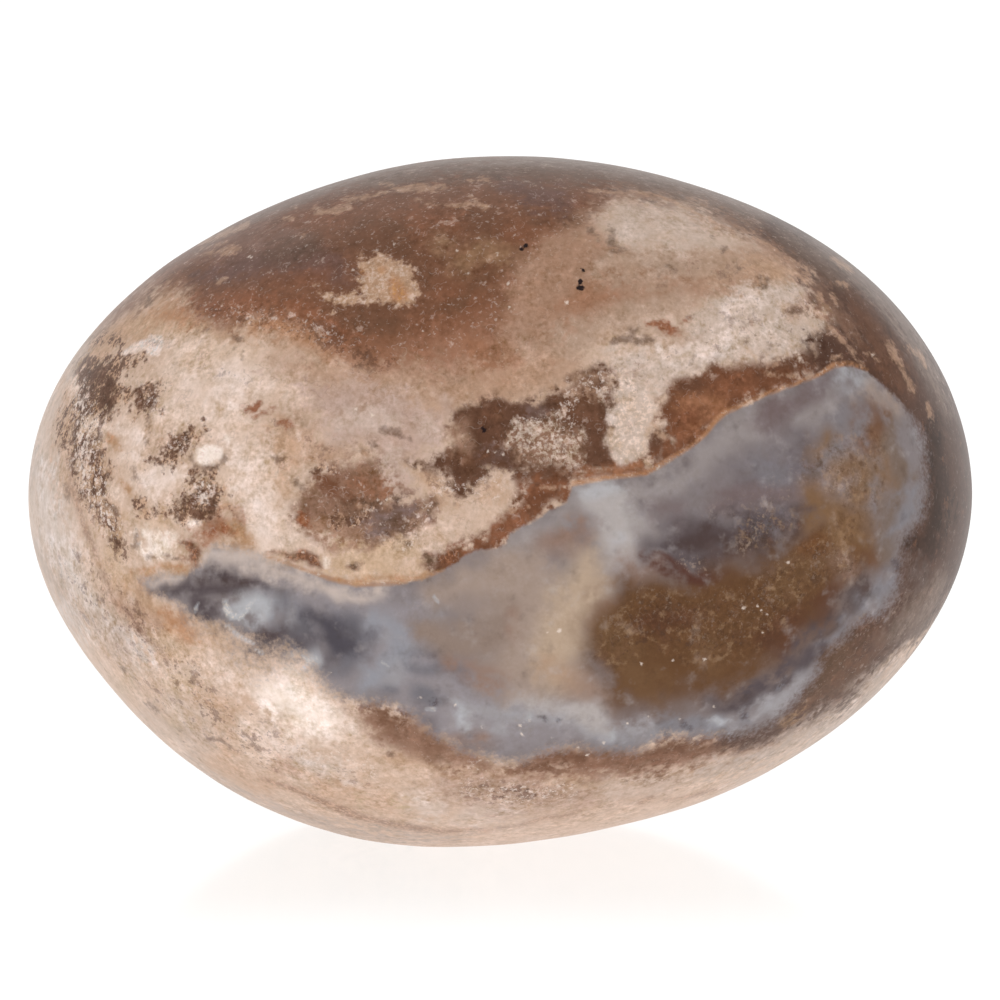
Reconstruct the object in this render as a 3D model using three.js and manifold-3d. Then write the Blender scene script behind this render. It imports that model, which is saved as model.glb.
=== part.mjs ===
// A tumbled agate: one rounded, polished stone that lies on its belly.
//
// Millimetres, +Z up. The long way of the stone runs along X and its broad face looks along -Y.
// The origin is on the surface it rests on, under the middle of the stone.
//
// The stone is an ellipsoid into which the tumbling barrel has worn a few soft flats. In a direction d from the
// stone's centre the surface lies at
//     1 / (|d / half axes|^c + sum over the flats of (max(0, d . normal) / reach)^c)^(1/c)
// which follows whichever of the ellipsoid and the flats is nearest, and rounds the turns between them.

import * as THREE from 'three';
import { mergeVertices } from 'three/addons/utils/BufferGeometryUtils.js';
import Module from 'manifold-3d';

// ---- Driving dimensions, in millimetres and degrees ----

// The ellipsoid: half its length, depth and height, and how far its long axis climbs towards +X.
const ROUND = { halfLength: 20.9, halfDepth: 16.8, halfHeight: 15.7, roll: 12.5 };

// The worn flats. bearing runs anticlockwise from +X in the X-Z plane, as seen from -Y. lean turns the flat's normal
// from that plane towards -Y, or towards +Y where it is negative. reach is the flat's distance from the centre.
const FLATS = [
  { name: 'face', bearing: 72, lean: 75, reach: 15.4 },
  { name: 'back', bearing: 100, lean: -74, reach: 16.0 },
  { name: 'brow', bearing: 74, lean: -8, reach: 15.7 },
  { name: 'crown', bearing: 107, lean: -6, reach: 16.6 },
  { name: 'shoulder', bearing: 34, lean: 0, reach: 20.5 },
  { name: 'heel', bearing: 224, lean: 4, reach: 20.0 },
  { name: 'belly', bearing: 275, lean: 4, reach: 17.9 },
];

// How crisply the flats turn into each other.
const CRISPNESS = 7;

// The slice worn off the lowest part of the belly, which leaves the true flat that the stone rests on.
const FOOT_WEAR = 0.35;

// How many times each edge of the starting icosahedron is split.
const EDGE_SPLITS = 18;

// The plain average colour of the stone, and its polish.
const STONE_COLOUR = 0x8f7768;
const STONE_ROUGHNESS = 0.22;

// ---- Shape ----

const roll = THREE.MathUtils.degToRad(ROUND.roll);
const stoneAxes = new THREE.Matrix4().makeRotationY(roll);

const wornFlats = FLATS.map(({ bearing, lean, reach }) => {
  const b = THREE.MathUtils.degToRad(bearing);
  const l = THREE.MathUtils.degToRad(lean);
  const normal = new THREE.Vector3(Math.cos(b) * Math.cos(l), -Math.sin(l), Math.sin(b) * Math.cos(l));
  return { normal, reach };
});

// How far the surface lies from the centre in a unit direction.
function reachAlong(direction) {
  const d = direction.clone().applyMatrix4(stoneAxes);
  const round = Math.hypot(d.x / ROUND.halfLength, d.y / ROUND.halfDepth, d.z / ROUND.halfHeight);
  let sum = round ** CRISPNESS;
  for (const { normal, reach } of wornFlats) {
    sum += (Math.max(0, direction.dot(normal)) / reach) ** CRISPNESS;
  }
  return sum ** (-1 / CRISPNESS);
}

// An icosahedron's finely split sphere, with every point moved out or in to the stone's surface.
function roundedStone() {
  const geometry = new THREE.IcosahedronGeometry(1, EDGE_SPLITS);
  const position = geometry.getAttribute('position');
  const point = new THREE.Vector3();
  for (let i = 0; i < position.count; i++) {
    point.fromBufferAttribute(position, i).normalize();
    point.multiplyScalar(reachAlong(point));
    position.setXYZ(i, point.x, point.y, point.z);
  }
  return geometry;
}

// ---- Cutting the foot ----

const wasm = await Module();
wasm.setup();

function solidFrom(geometry) {
  const bare = geometry.clone();
  bare.deleteAttribute('normal');
  bare.deleteAttribute('uv');
  const merged = mergeVertices(bare, 1e-4);
  return new wasm.Manifold(
    new wasm.Mesh({
      numProp: 3,
      vertProperties: merged.getAttribute('position').array,
      triVerts: new Uint32Array(merged.index.array),
    }),
  );
}

function geometryFrom(solid) {
  const mesh = solid.getMesh();
  const geometry = new THREE.BufferGeometry();
  geometry.setAttribute('position', new THREE.BufferAttribute(mesh.vertProperties, 3));
  geometry.setIndex(new THREE.BufferAttribute(mesh.triVerts, 1));
  return geometry;
}

// The stone with everything below its foot taken away, standing on z = 0 over the origin.
function standingStone() {
  const rounded = roundedStone();
  rounded.computeBoundingBox();
  const footLevel = rounded.boundingBox.min.z + FOOT_WEAR;

  const slabSide = 4 * ROUND.halfLength;
  const slab = new THREE.BoxGeometry(slabSide, slabSide, slabSide);
  slab.translate(0, 0, footLevel - slabSide / 2);

  const stone = geometryFrom(solidFrom(rounded).subtract(solidFrom(slab)));
  stone.computeBoundingBox();
  const middle = stone.boundingBox.getCenter(new THREE.Vector3());
  stone.translate(-middle.x, -middle.y, -footLevel);
  stone.computeVertexNormals();
  return stone;
}

const agateMaterial = new THREE.MeshStandardMaterial({
  color: STONE_COLOUR,
  roughness: STONE_ROUGHNESS,
  metalness: 0,
});

const agate = new THREE.Mesh(standingStone(), agateMaterial);
agate.name = 'agate_stone';

const part = new THREE.Group();
part.add(agate);

export default part;
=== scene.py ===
"""Looks of a tumbled banded agate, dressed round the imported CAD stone.

All marks on the stone are laid out on the `face chart`: millimetres across (s) and up (t) as seen from
300 mm away, 10 degrees above the table. Behind the stone's middle the chart drifts, so that the layers
come out changed at the back.
"""

import math

import bpy
import numpy as np
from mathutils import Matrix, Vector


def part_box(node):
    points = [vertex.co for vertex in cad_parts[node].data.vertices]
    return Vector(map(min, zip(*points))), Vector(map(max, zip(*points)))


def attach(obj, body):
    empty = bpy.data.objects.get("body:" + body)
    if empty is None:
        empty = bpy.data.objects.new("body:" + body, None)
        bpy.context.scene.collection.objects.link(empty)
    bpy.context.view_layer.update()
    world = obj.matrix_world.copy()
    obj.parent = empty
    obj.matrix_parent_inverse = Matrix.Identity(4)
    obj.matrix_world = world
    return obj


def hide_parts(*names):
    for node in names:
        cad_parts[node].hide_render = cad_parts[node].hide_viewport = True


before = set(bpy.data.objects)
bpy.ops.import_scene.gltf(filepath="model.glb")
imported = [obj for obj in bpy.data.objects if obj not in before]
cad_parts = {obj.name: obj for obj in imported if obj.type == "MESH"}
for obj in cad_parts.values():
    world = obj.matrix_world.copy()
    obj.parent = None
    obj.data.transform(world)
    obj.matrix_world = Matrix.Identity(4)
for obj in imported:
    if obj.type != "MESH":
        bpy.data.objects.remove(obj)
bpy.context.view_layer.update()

bl_info = {
    "name": "Tumbled banded agate",
    "version": (1, 0, 0),
    "blender": (4, 5, 0),
    "location": "3D View > Sidebar > Agate",
    "description": "Polished surface, stone colours and stage of a tumbled banded agate",
    "category": "Object",
}

MM = .001
NODE = "agate_stone"

# ---------------------------------------------------------------- the stone's form, in millimetres
ROLL = math.radians(12.5)
CRISPNESS = 7.0
FOOT_WEAR = .35  # height worn off the underside
# name: bearing, lean (degrees) and reach (mm) of each worn flat
FLATS = {
    "face": (72, 75, 15.4),
    "back": (100, -74, 16.0),
    "brow": (74, -8, 15.7),
    "crown": (107, -6, 16.6),
    "shoulder": (34, 0, 20.5),
    "heel": (224, 4, 20.0),
    "belly": (275, 4, 17.9),
}
PATCH_STEPS = 128  # grid cells along the side of each of the six patches
FRONT_LEAN = .45  # how far the grid gathers on the front

REACH = 2.0  # how far outside a painted shape its depth is still told, in millimetres

# ---------------------------------------------------------------- the eye point of the face chart
EYE_DISTANCE = 300.0
EYE_ELEVATION = math.radians(10.0)
CHART_MIDDLE = (0.0, 0.0, 14.2)
FRAME_WIDTH = 42.51  # width of the view at the chart's middle
FLOOR_HALF = 6.0  # in metres

# ---------------------------------------------------------------- stone colours, as they look in soft light
SHEEN = .012  # the tent's light that the polish sends back from a face seen square on
PALETTE = {
    "hazel": (126, 89, 69),
    "umberwood": (112, 80, 62),
    "plum": (112, 85, 77),
    "mauve": (135, 107, 95),
    "taupe": (120, 101, 90),
    "drift_grey": (142, 124, 113),
    "russet": (140, 94, 70),
    "copper": (158, 111, 83),
    "clay": (151, 109, 86),
    "sand": (180, 134, 100),
    "gold_tan": (158, 127, 98),
    "tan": (194, 161, 135),
    "wheat": (206, 178, 152),
    "oat": (211, 186, 168),
    "cream": (227, 205, 190),
    "petal": (236, 217, 206),
    "shell": (207, 188, 175),
    "pearl": (201, 181, 166),
    "frost": (222, 212, 207),
    "rose_grey": (192, 166, 153),
    "fawn": (184, 151, 128),
    "biscuit": (170, 136, 114),
    "mushroom": (181, 155, 136),
    "stone_grey": (180, 163, 152),
    "chestnut": (114, 76, 56),
    "bark": (101, 72, 57),
    "cocoa": (144, 112, 94),
    "grape": (127, 108, 104),
    "walnut": (92, 68, 57),
    "smoke": (58, 42, 34),
    "sepia": (76, 51, 39),
    "fog": (104, 88, 82),
    "milk": (250, 236, 226),
    "drab": (182, 155, 139),
    "olive_tan": (188, 165, 136),
    "honey_tan": (184, 148, 116),
    "ash": (134, 124, 126),
    "mist": (203, 186, 180),
    "soot": (88, 77, 81),
    "veil": (188, 188, 195),
    "slate": (116, 113, 121),
    "ink": (82, 77, 85),
    "dove": (152, 152, 162),
    "lavender": (150, 142, 147),
    "pebble": (148, 129, 120),
    "straw": (189, 165, 146),
    "almond": (167, 147, 137),
    "lilac": (184, 175, 175),
    "pewter": (158, 148, 148),
    "rosewood": (149, 120, 107),
    "heather": (112, 103, 108),
    "orchid": (121, 105, 106),
    "mulberry": (80, 64, 62),
    "amber": (104, 73, 50),
    "topaz": (114, 84, 60),
    "honey": (133, 101, 74),
    "cinnamon": (115, 75, 47),
    "garnet": (88, 54, 44),
    "steel": (133, 129, 136),
    "silver": (160, 155, 160),
    "rust": (138, 84, 56),
    "ochre": (188, 138, 86),
    "umber": (100, 76, 60),
    "peat": (84, 60, 46),
    # painted shade: the dark of the stone's tiny pits, which have no hollow in the mesh
    "pit": (44, 28, 14),
    # painted highlight: the colour of the painted glints
    "spark": (244, 226, 212),
}


def linear(rgb):
    """An 8-bit display colour as a linear one, ((c + 0.055) / 1.055) ** 2.4, less the sheen."""
    c = np.asarray(rgb, float) / 255.0
    return np.maximum(((c + .055) / 1.055) ** 2.4 - SHEEN, .004)


# ---------------------------------------------------------------- outlines on the face chart, in millimetres
# A shape is a tapering stroke of (s, t, radius) points, a spot of one such point, or a closed patch of (s, t)
# points.
CHALCEDONY = (
    (-15.4, -3.3), (-14.9, -3.15), (-14, -3.05), (-13.2, -2.8), (-12.8, -2.5), (-12.6, -2), (-12.2, -1.75),
    (-11.5, -1.85), (-10.5, -2.05), (-9.9, -2.3), (-9, -2.65), (-8.2, -2.95), (-7.5, -3.15), (-6.9, -3.4),
    (-6.2, -3.58), (-5.2, -3.56), (-4.1, -3.48), (-3.2, -3.3), (-2.5, -3), (-1.9, -2.7), (-1.5, -2.35),
    (-.9, -2.1), (-.2, -2.08), (.25, -1.85), (.4, -1.45), (.9, -1.15), (1.5, -.88), (2, -.5), (2.85, -.1),
    (3, .35), (3.15, .62), (3.8, .74), (4.6, .9), (5.4, 1.05), (6.2, 1.1), (6.6, 1.35), (7.2, 1.75),
    (8, 2.15), (8.6, 2.6), (9, 3.1), (9.35, 3.5), (9.9, 3.85), (10.6, 4.05), (11.2, 4.4), (12.2, 4.78),
    (13.1, 5.1), (13.75, 5.35), (14.2, 5.66), (14.9, 5.7), (15.6, 5.45), (16.2, 4.95), (16.9, 4.3),
    (17.4, 3.7), (17.8, 3), (18, 2.5), (18.05, 1.4), (18.1, .6), (18, -.5), (17.7, -1.05), (17.3, -1.4),
    (17.1, -1.9), (16.95, -2.8), (16.95, -3.8), (16.5, -4.5), (16.2, -4.95), (15.5, -5), (15, -5.4),
    (14.6, -5.9), (14, -6.3), (13.65, -6.6), (13.55, -7.2), (13.3, -7.7), (12.8, -8.3), (12.2, -8.9),
    (11.6, -9.45), (10.9, -9.8), (9.9, -10), (8.4, -10.1), (7.1, -9.98), (6.5, -10.3), (5.9, -10.65),
    (5.1, -10.8), (4.2, -10.7), (3.2, -10.5), (2.2, -10.65), (1.5, -10.9), (.6, -11.15), (-.3, -10.95),
    (-1, -10.8), (-1.8, -10.65), (-2.1, -10.3), (-2.8, -10), (-3.3, -9.5), (-3.9, -9), (-4.6, -8.75),
    (-5.6, -8.6), (-6.6, -8.4), (-7.4, -8.1), (-7.85, -7.5), (-8.4, -7), (-9.3, -6.95), (-10, -7.25),
    (-10.8, -6.9), (-11.3, -6.3), (-11.9, -5.7), (-12.6, -5.5), (-13.4, -5.2), (-13.7, -4.6), (-14.5, -4.25),
    (-15.2, -3.9),
)
BROWN_CAP = (
    (-17.2, 7.6), (-15.8, 8.3), (-14.8, 9), (-13.5, 8.9), (-13.1, 8.2), (-12.6, 7.6), (-11.6, 7.4),
    (-10.6, 7.7), (-9.6, 7.8), (-8.6, 7.5), (-7.6, 7.1), (-6.6, 6.5), (-5.4, 6.1), (-4, 6), (-2.6, 6.2),
    (-1.4, 6.5), (-.2, 7), (.6, 7.6), (.8, 8.6), (1.2, 9.6), (2.2, 10.6), (3.4, 11.4), (4.2, 12.2),
    (5.2, 13.1), (8, 12.5), (9.6, 11.7), (10.8, 11.1), (12, 10.3), (13, 9.6), (16, 14), (0, 19), (-14, 16),
)
RIGHT_FLANK = (
    (11, 11.6), (12.4, 10.3), (13.3, 9.4), (13.2, 8.4), (13.9, 7.6), (13.4, 6.9), (13.1, 6.3), (13.2, 5),
    (14, 4.8), (15, 4.6), (15.6, 4), (16.6, 2.6), (17, .8), (17, -.6), (16.2, -1.6), (16, -3), (15.4, -4),
    (14.2, -4.8), (12.8, -6), (12.6, -7), (11.6, -8.2), (10.8, -9), (9.6, -9.6), (9, -10.6), (11.2, -10.4),
    (12.6, -9.9), (14, -9.1), (15.4, -8.1), (16.6, -7), (18.6, -5.4), (22, -2), (22, 4), (18, 9), (13, 13),
)
CREAM_FIELD = (
    (-15, 5.2), (-14.6, 5.8), (-14.2, 6.5), (-13, 6.8), (-11.6, 6.6), (-10.4, 6.4), (-9.2, 6.4), (-8.2, 6),
    (-8, 5.2), (-8.8, 4.6), (-9.8, 4.5), (-10.7, 4.1), (-10.5, 3.2), (-10.1, 2.4), (-9.6, 1.7), (-9, 1.2),
    (-8.7, .2), (-8.7, -.8), (-8.3, -1.5), (-7.6, -2), (-8.8, -2), (-9.9, -2.15), (-10.4, -1.8), (-10.9, -.9),
    (-11.4, 0), (-11.9, .7), (-12, 1.3), (-11.5, 1.8), (-11.7, 2.3), (-12.5, 2.7), (-13.2, 3.2), (-14.2, 3.2),
    (-14.8, 3.1), (-14.7, 3.9), (-14.2, 4.8),
)
CREAM_POOL = (
    (-15.95, 3.5), (-15.2, 3.4), (-15.05, 2.3), (-14.9, 1.7), (-14.2, 1.3), (-13.5, 1.2), (-13.3, .6),
    (-13.9, .2), (-14.5, -.2), (-15.1, 0), (-15.4, .5), (-15.6, 1.2), (-16, 1.8), (-15.8, 2.6),
)
ROSE_FIELD = (
    (-8.2, 4.8), (-6.6, 4.9), (-5, 4.7), (-3.4, 4.5), (-1.9, 4.5), (-1.9, 3.8), (-2.1, 3), (-2.4, 2.3),
    (-3.3, 1.9), (-3.8, 1.4), (-3.6, .8), (-3.3, .4), (-4.2, .2), (-4.7, .6), (-4.9, 1.4), (-5, 2.2),
    (-5.8, 2.5), (-6.8, 2.2), (-7.4, 2.4), (-7.8, 3.2),
)
SHELL_FIELD = (
    (4.9, 6.2), (5.6, 6.5), (6.6, 6.4), (7.4, 6.7), (8.2, 7.2), (8.3, 8), (8.9, 8.6), (10, 8.9), (11.4, 9),
    (12.6, 9.3), (13.2, 8.9), (13, 8.4), (12.1, 8.2), (12, 7.7), (12.8, 7.6), (13.6, 7.2), (13.3, 6.8),
    (13.1, 6.3), (12.4, 6), (11.2, 5.95), (10, 5.9), (9.2, 5.8), (8.7, 5.5), (8, 5.3), (7.6, 4.9), (7, 4.6),
    (6.2, 4.4), (5.3, 4.5), (5, 5.2),
)
COCOA_FIELD = (
    (-7.9, 1.1), (-7.2, 1.6), (-6.4, 1.6), (-5.4, 1.9), (-4.9, 1.5), (-4.7, .8), (-4.5, .3), (-3.7, .1),
    (-3.1, .3), (-2.6, .6), (-2.4, .3), (-2.8, -.2), (-3.1, -.7), (-3.6, -1.1), (-4, -1.5), (-4.6, -1.6),
    (-4.8, -1.9), (-5.6, -2.1), (-6.6, -2), (-7.4, -1.8), (-8.1, -1.4), (-8.6, -1), (-8.6, -.3), (-8.3, 0),
    (-8.1, .5),
)
BARK_PATCH = (
    (-3.6, 1.4), (-3.1, 1.8), (-2.5, 2), (-2, 2.2), (-1.75, 2.7), (-2, 3.1), (-2.1, 3.6), (-1.8, 4),
    (-1.1, 4.1), (-.8, 4.45), (-.4, 4.6), (0, 4.35), (1.2, 4.3), (1.9, 4.5), (2.5, 4.8), (3, 4.95),
    (3.2, 5.35), (3.8, 5.5), (4.3, 5.8), (4.6, 5.7), (4.8, 5.3), (4.95, 4.5), (4.75, 4), (4.9, 3.3),
    (4.65, 2.6), (4.7, 2), (5, 1.5), (6.2, 1.9), (6.3, 2.9), (7, 3.1), (7.2, 2.6), (6.6, 1.7), (5, 1.3),
    (3, 1.1), (1.8, 1.2), (.9, 1), (.2, 1.15), (-.5, 1.1), (-.9, .8), (-1.2, .4), (-1.5, .15), (-1.7, .6),
    (-2, .8), (-2, 1.25), (-2.8, 1.35),
)
RUST_VEIN = (
    (7, 4.5), (7.5, 5.1), (8.4, 5.4), (9.2, 5.75), (10.4, 5.85), (11.4, 5.9), (12.4, 5.95), (13.2, 6.2),
    (13.6, 5.6), (14.3, 5.8), (13.6, 5.3), (12.2, 4.8), (11, 4.2), (9.8, 3.7), (9.2, 3.1), (8.4, 2.2),
    (7.2, 1.5), (6.2, 1), (4.6, .8), (3, .6), (2.8, -.2), (1.5, -.95), (.4, -1.6), (-.2, -2.1), (-1.4, -2.4),
    (-2.4, -3), (-3.1, -2.95), (-3.3, -2.5), (-2.9, -2.1), (-2.3, -1.95), (-1.4, -1.5), (-.7, -1), (.1, -.6),
    (.6, 0), (.9, .5), (1, 1), (1.8, 1.3), (3, 1.15), (5, 1.4), (6.6, 1.8), (7, 2.7), (6.9, 3.3), (6.5, 3.4),
    (6.9, 4.1),
)
# Colour fields of the jasper, a few of them painted reflections and painted highlights: colour, softness
# (mm), strength and shapes. Later ones lie on top.
JASPER_FIELDS = (
    # lower and left side
    ("stone_grey", 1, .6, ((-17.2, -4.9, .5), (-16.3, -5.6, .6), (-15.6, -6.8, .4)), ((-14.8, -9.1, .2),
     (-13.4, -9.9, .35), (-12.3, -10.1, .3)), (-13, -10.8, .4)),
    # painted reflection: this and the next two fields paint a pale veil along the left edge
    ("shell", 1.4, 1, ((-19.2, 4.4, .4), (-19.6, 2.4, .6), (-19.5, 0, .9), (-18.7, -2, 1), (-18, -3.4, .9),
     (-17.4, -4.4, .5))),
    ("petal", .9, .6, ((-18.4, -1.4, .35), (-18.3, -2.4, .35)), ((-17.9, -3.3, .3), (-17.5, -3.7, .2))),
    ("stone_grey", .6, .7, ((-19.7, -1.6, .15), (-19.2, -3, .2), (-18.6, -4.3, .25), (-18.1, -5.2, .3)),
     ((-18.5, -3.2, .2), (-18.4, -4.4, .2)), ((-19.85, .6, .15), (-19.7, 2, .15))),
    ("tan", .9, .6, ((-18.7, 3.4, .3), (-18.6, 1.6, .4), (-18.2, .4, .3))),
    ("wheat", .6, .9, ((-16.5, -1.6, .35), (-16.4, -2.8, .4), (-16.1, -3.5, .25)), ((-15.9, -.9, .2),
     (-14.8, -.85, .15), (-13.2, -1.1, .2))),
    # painted reflection: a pale veil along the left and lower left edge
    ("frost", .7, .6, ((-19.2, 1.8, .2), (-19.1, .2, .35), (-18.8, -1.4, .45), (-18.1, -3, .45),
     (-17.3, -4.4, .3)), ((-18.6, -4.4, .2), (-17.6, -6, .2))),
    ("honey_tan", .9, .7, ((-16, -3.6, .25), (-15.3, -4.2, .45), (-14.6, -4.8, .5), (-13.9, -5.2, .45),
     (-13.2, -5.5, .3), (-12.3, -5.7, .15)), ((-11.7, -6.2, .12), (-11.2, -6.7, .12))),
    ("biscuit", .9, .8, ((-16.4, -4.4, .25), (-15.4, -5.1, .35), (-14.4, -5.5, .3)), (-15.2, -3.6, .3)),
    ("sand", .5, .9, ((-14.3, -4.8, .25), (-13.5, -5.1, .3)), ((-14.1, -5.4, .2), (-13.3, -5.5, .2))),
    ("wheat", .8, .8, ((-14.4, -5.9, .3), (-13.8, -6.4, .4), (-13.4, -6.2, .3))),
    ("frost", .7, .8, ((-15.6, -6.1, .25), (-15.2, -6.6, .25), (-15.2, -7.2, .15)), (-16.8, -5.3, .2)),
    ("petal", 1.2, .45, ((-12.8, -6.8, .6), (-11.6, -7.2, .6), (-10.8, -7.7, .4))),
    ("olive_tan", .8, .7, (-15.8, -7.7, .25), ((-13.9, -7.7, .3), (-13.2, -7.6, .2)), (-13.7, -9.3, .4)),
    ("tan", .8, .8, ((-12.9, -8.3, .3), (-12.2, -8.5, .3), (-11.7, -8.9, .3), (-11.6, -9.5, .2)),
     (-10.9, -8.4, .3)),
    ("shell", .7, .8, ((-14.2, -8.5, .3), (-13.3, -8.7, .35), (-12.9, -9.2, .3))),
    ("tan", .9, .7, ((-12.1, -11.2, .4), (-11, -11.7, .4), (-10, -12.1, .4)), (-11.6, -10.5, .3)),
    # painted highlight in the second stroke, at (-13.6, -10.4); the first stroke is the stone's own cream
    ("cream", .6, .9, ((-11, -10.2, .2), (-10.3, -10.6, .25), (-9.6, -10.9, .15)), ((-13.8, -10.25, .12),
     (-13.5, -10.55, .12))),
    ("petal", 1, .7, ((-10.8, -9.6, .4), (-9.6, -10.2, .4), (-8.8, -10.5, .3))),
    ("frost", 1, .5, ((-8.2, -11, .4), (-7.4, -11.3, .4)), (-6.6, -11.6, .3), ((-3.4, -12.9, .4),
     (-2.8, -13.2, .3)), ((-1.4, -13.3, .4), (.8, -13.3, .3))),
    ("copper", .6, .4, ((-9.6, -11.3, .15), (-8.9, -11.4, .2), (-8.7, -11.6, .15))),
    ("tan", 1, .6, ((-7.6, -12.4, .4), (-6, -12.7, .5), (-4.6, -12.8, .4))),
    ("olive_tan", .3, .9, (-7.25, -11.85, .1), (-5.85, -12.75, .15), ((-4.3, -12.5, .12),
     (-4.25, -12.8, .15))),
    ("tan", .9, .8, ((-4.4, -11, .25), (-2.8, -11.2, .3), (-1.2, -11.5, .3), (.2, -11.6, .3))),
    ("drab", 1.4, 1, ((-2.6, -12.2, .4), (-1.2, -12.3, .7), (.4, -12.5, .8), (2, -12.5, .7),
     (3.4, -12.5, .5))),
    ("olive_tan", .7, .6, ((2.6, -12.1, .2), (4.2, -12, .25), (4.8, -12.6, .2)), ((5.8, -11.75, .15),
     (6.6, -11.6, .15)), ((8.2, -11.7, .15), (9, -11.5, .15))),
    ("biscuit", .7, .7, ((0, -11.75, .15), (2, -11.85, .25), (3.8, -11.75, .25)), ((5, -11.6, .2),
     (6.4, -11.4, .2), (8, -11.2, .15))),
    ("drab", .9, .8, ((3.6, -12.6, .4), (5.2, -12.4, .5), (7, -12, .4), (8.6, -11.6, .3))),
    # painted reflection: a pale rim along the lower right edge, where the polish mirrors the white floor
    ("shell", .9, .8, ((4.4, -12.2, .25), (5.4, -12.4, .3), (6.6, -12.1, .25), (8.2, -12, .25),
     (9.6, -11.6, .3), (11.2, -11.2, .3), (13, -10.3, .3), (14.6, -9.4, .3), (16, -8.4, .25),
     (17, -7.3, .15))),
    # painted reflection: a thin pale line along the lower edge
    ("stone_grey", .4, .9, ((-12.8, -11.6, .12), (-11.2, -12.35, .18), (-9.2, -13.15, .2), (-7, -13.85, .2),
     (-5, -14.25, .18), (-3, -14.4, .12), (-1.4, -14.35, .08))),
    ("cocoa", .9, 1, ((-6, -9, .25), (-5, -9.4, .7), (-3.9, -9.9, .8), (-2.8, -10.5, .7), (-1.8, -10.9, .5),
     (-.6, -11.2, .4))),
    ("umberwood", .6, .8, ((-5, -9.1, .25), (-4.3, -9.5, .35)), ((-3, -10.3, .2), (-2.5, -10.4, .2))),
    ("hazel", .9, .9, ((.8, -11.4, .35), (2.2, -11.1, .6), (3.8, -11.1, .65), (5.4, -11.1, .6),
     (7, -10.9, .6), (8.6, -10.6, .6), (10, -10.4, .5), (11.2, -10.1, .4), (12.4, -9.6, .3))),
    ("umberwood", .6, .7, ((6.4, -10.9, .25), (7.8, -10.6, .3), (9.2, -10.4, .3))),
    ("umberwood", .5, .8, ((1.4, -11.1, .2), (2.4, -10.95, .3), (3.6, -10.9, .25)), ((4.9, -10.95, .12),
     (6, -10.85, .2), (7, -10.4, .25), (8.6, -10.3, .2))),
    # painted highlight: these four fields, down to the cream stroke, paint a light's soft reflection
    ("petal", 1, .8, ((-10.2, -8.2, .3), (-9.2, -7.6, .4), (-8.5, -7.4, .3))),
    ("petal", 1.2, .9, ((-10.6, -7.8, .4), (-9, -8.4, .9), (-7.6, -9.3, .8))),
    ("milk", 1.2, 1, ((-9.9, -8.3, .4), (-9, -8.5, .75), (-8.1, -9, .8), (-7.6, -9.3, .5),
     (-6.9, -9.8, .25))),
    ("cream", .8, .7, ((-6.7, -9.9, .25), (-6.2, -10.3, .2))),
    # left upper side
    ("tan", .8, 1, ((-17.4, 5.4, .4), (-17, 6.6, .4), (-16.1, 7.3, .5), (-15, 7.5, .6), (-14, 8.1, .5),
     (-13.4, 7.6, .4), (-12.2, 7, .3), (-10.8, 7, .3)), ((-18.2, 4.6, .3), (-17.9, 3.4, .4), (-17.5, 2.4, .5),
     (-17.3, 1, .6), (-17, -.2, .5), (-16.5, -1, .4))),
    ("wheat", .7, .7, ((-15.4, 7.3, .2), (-13.8, 7.2, .35), (-12.2, 6.9, .2)), ((-17.9, 3, .3),
     (-17.1, 2.9, .3))),
    ("gold_tan", .6, .9, ((-14.3, 8.8, .25), (-13.9, 9.3, .3), (-13.3, 9.7, .3), (-12.7, 10, .2))),
    ("drift_grey", .7, .9, ((-17.6, 6.7, .25), (-16.7, 7.6, .25), (-15.9, 8.3, .25), (-15.2, 8.9, .2))),
    ("stone_grey", .7, .8, ((-18.3, 5.3, .3), (-17.8, 6.3, .3)), (-18.8, 4, .25)),
    ("cream", .8, 1, CREAM_FIELD, CREAM_POOL, ((-16.6, .45, .25), (-16.3, .2, .2)), ((-16, 4.95, .1),
     (-15.2, 5.1, .15))),
    ("petal", .8, .8, ((-11.6, 5.2, .5), (-10.4, 5, .4)), ((-10.9, .6, .3), (-10.2, -.5, .5),
     (-9.6, -1.5, .4)), (-14.7, .9, .35), (-15.6, 2.9, .2)),
    ("wheat", .9, .7, ((-13.4, 5.8, .35), (-12.2, 6.2, .3), (-9.6, 6.2, .2)), ((-9.3, .9, .3), (-9, .1, .2))),
    ("petal", .5, .9, ((-15.1, .9, .35), (-14.4, .6, .5), (-13.8, 1, .3)), ((-17.6, 3.2, .15),
     (-16.8, 3.1, .2)), ((-17.5, 5.2, .15), (-16.9, 5.3, .2)), ((-15.9, 3.2, .2), (-15.6, 2.6, .2),
     (-15.6, 2, .2)), ((-12.6, 4.6, .35), (-11.6, 4.2, .3)), ((-11.2, 1.6, .35), (-10.6, .8, .3))),
    ("clay", .6, .9, ((-13, -1.3, .2), (-12.2, -1.1, .35), (-11.4, -1.1, .3), (-10.8, -1.6, .2))),
    ("cream", .4, .8, ((-13.6, -1.3, .2), (-12.9, -1.4, .2))),
    ("milk", .5, 1, ((-15.2, -1.4, .2), (-14.7, -1.55, .35), (-14.2, -1.8, .4), (-14.9, -2, .3))),
    ("copper", .5, .9, ((-13.2, -1.9, .15), (-12.9, -2.3, .2), (-13.1, -2.7, .15)), ((-13, -1.6, .15),
     (-12.2, -1.6, .25), (-11.3, -1.4, .15))),
    ("copper", .4, .8, ((-11.8, -.5, .2), (-11.3, -.4, .2), (-10.9, -.9, .2))),
    ("honey_tan", .4, .9, ((-11.4, -1.1, .2), (-11, -1.5, .3), (-10.6, -1.85, .2), (-11.6, -1.8, .12))),
    # the brown cap and what lies in it
    ("sand", 2.2, .7, BROWN_CAP),
    ("hazel", 1.3, 1, BROWN_CAP),
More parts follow.
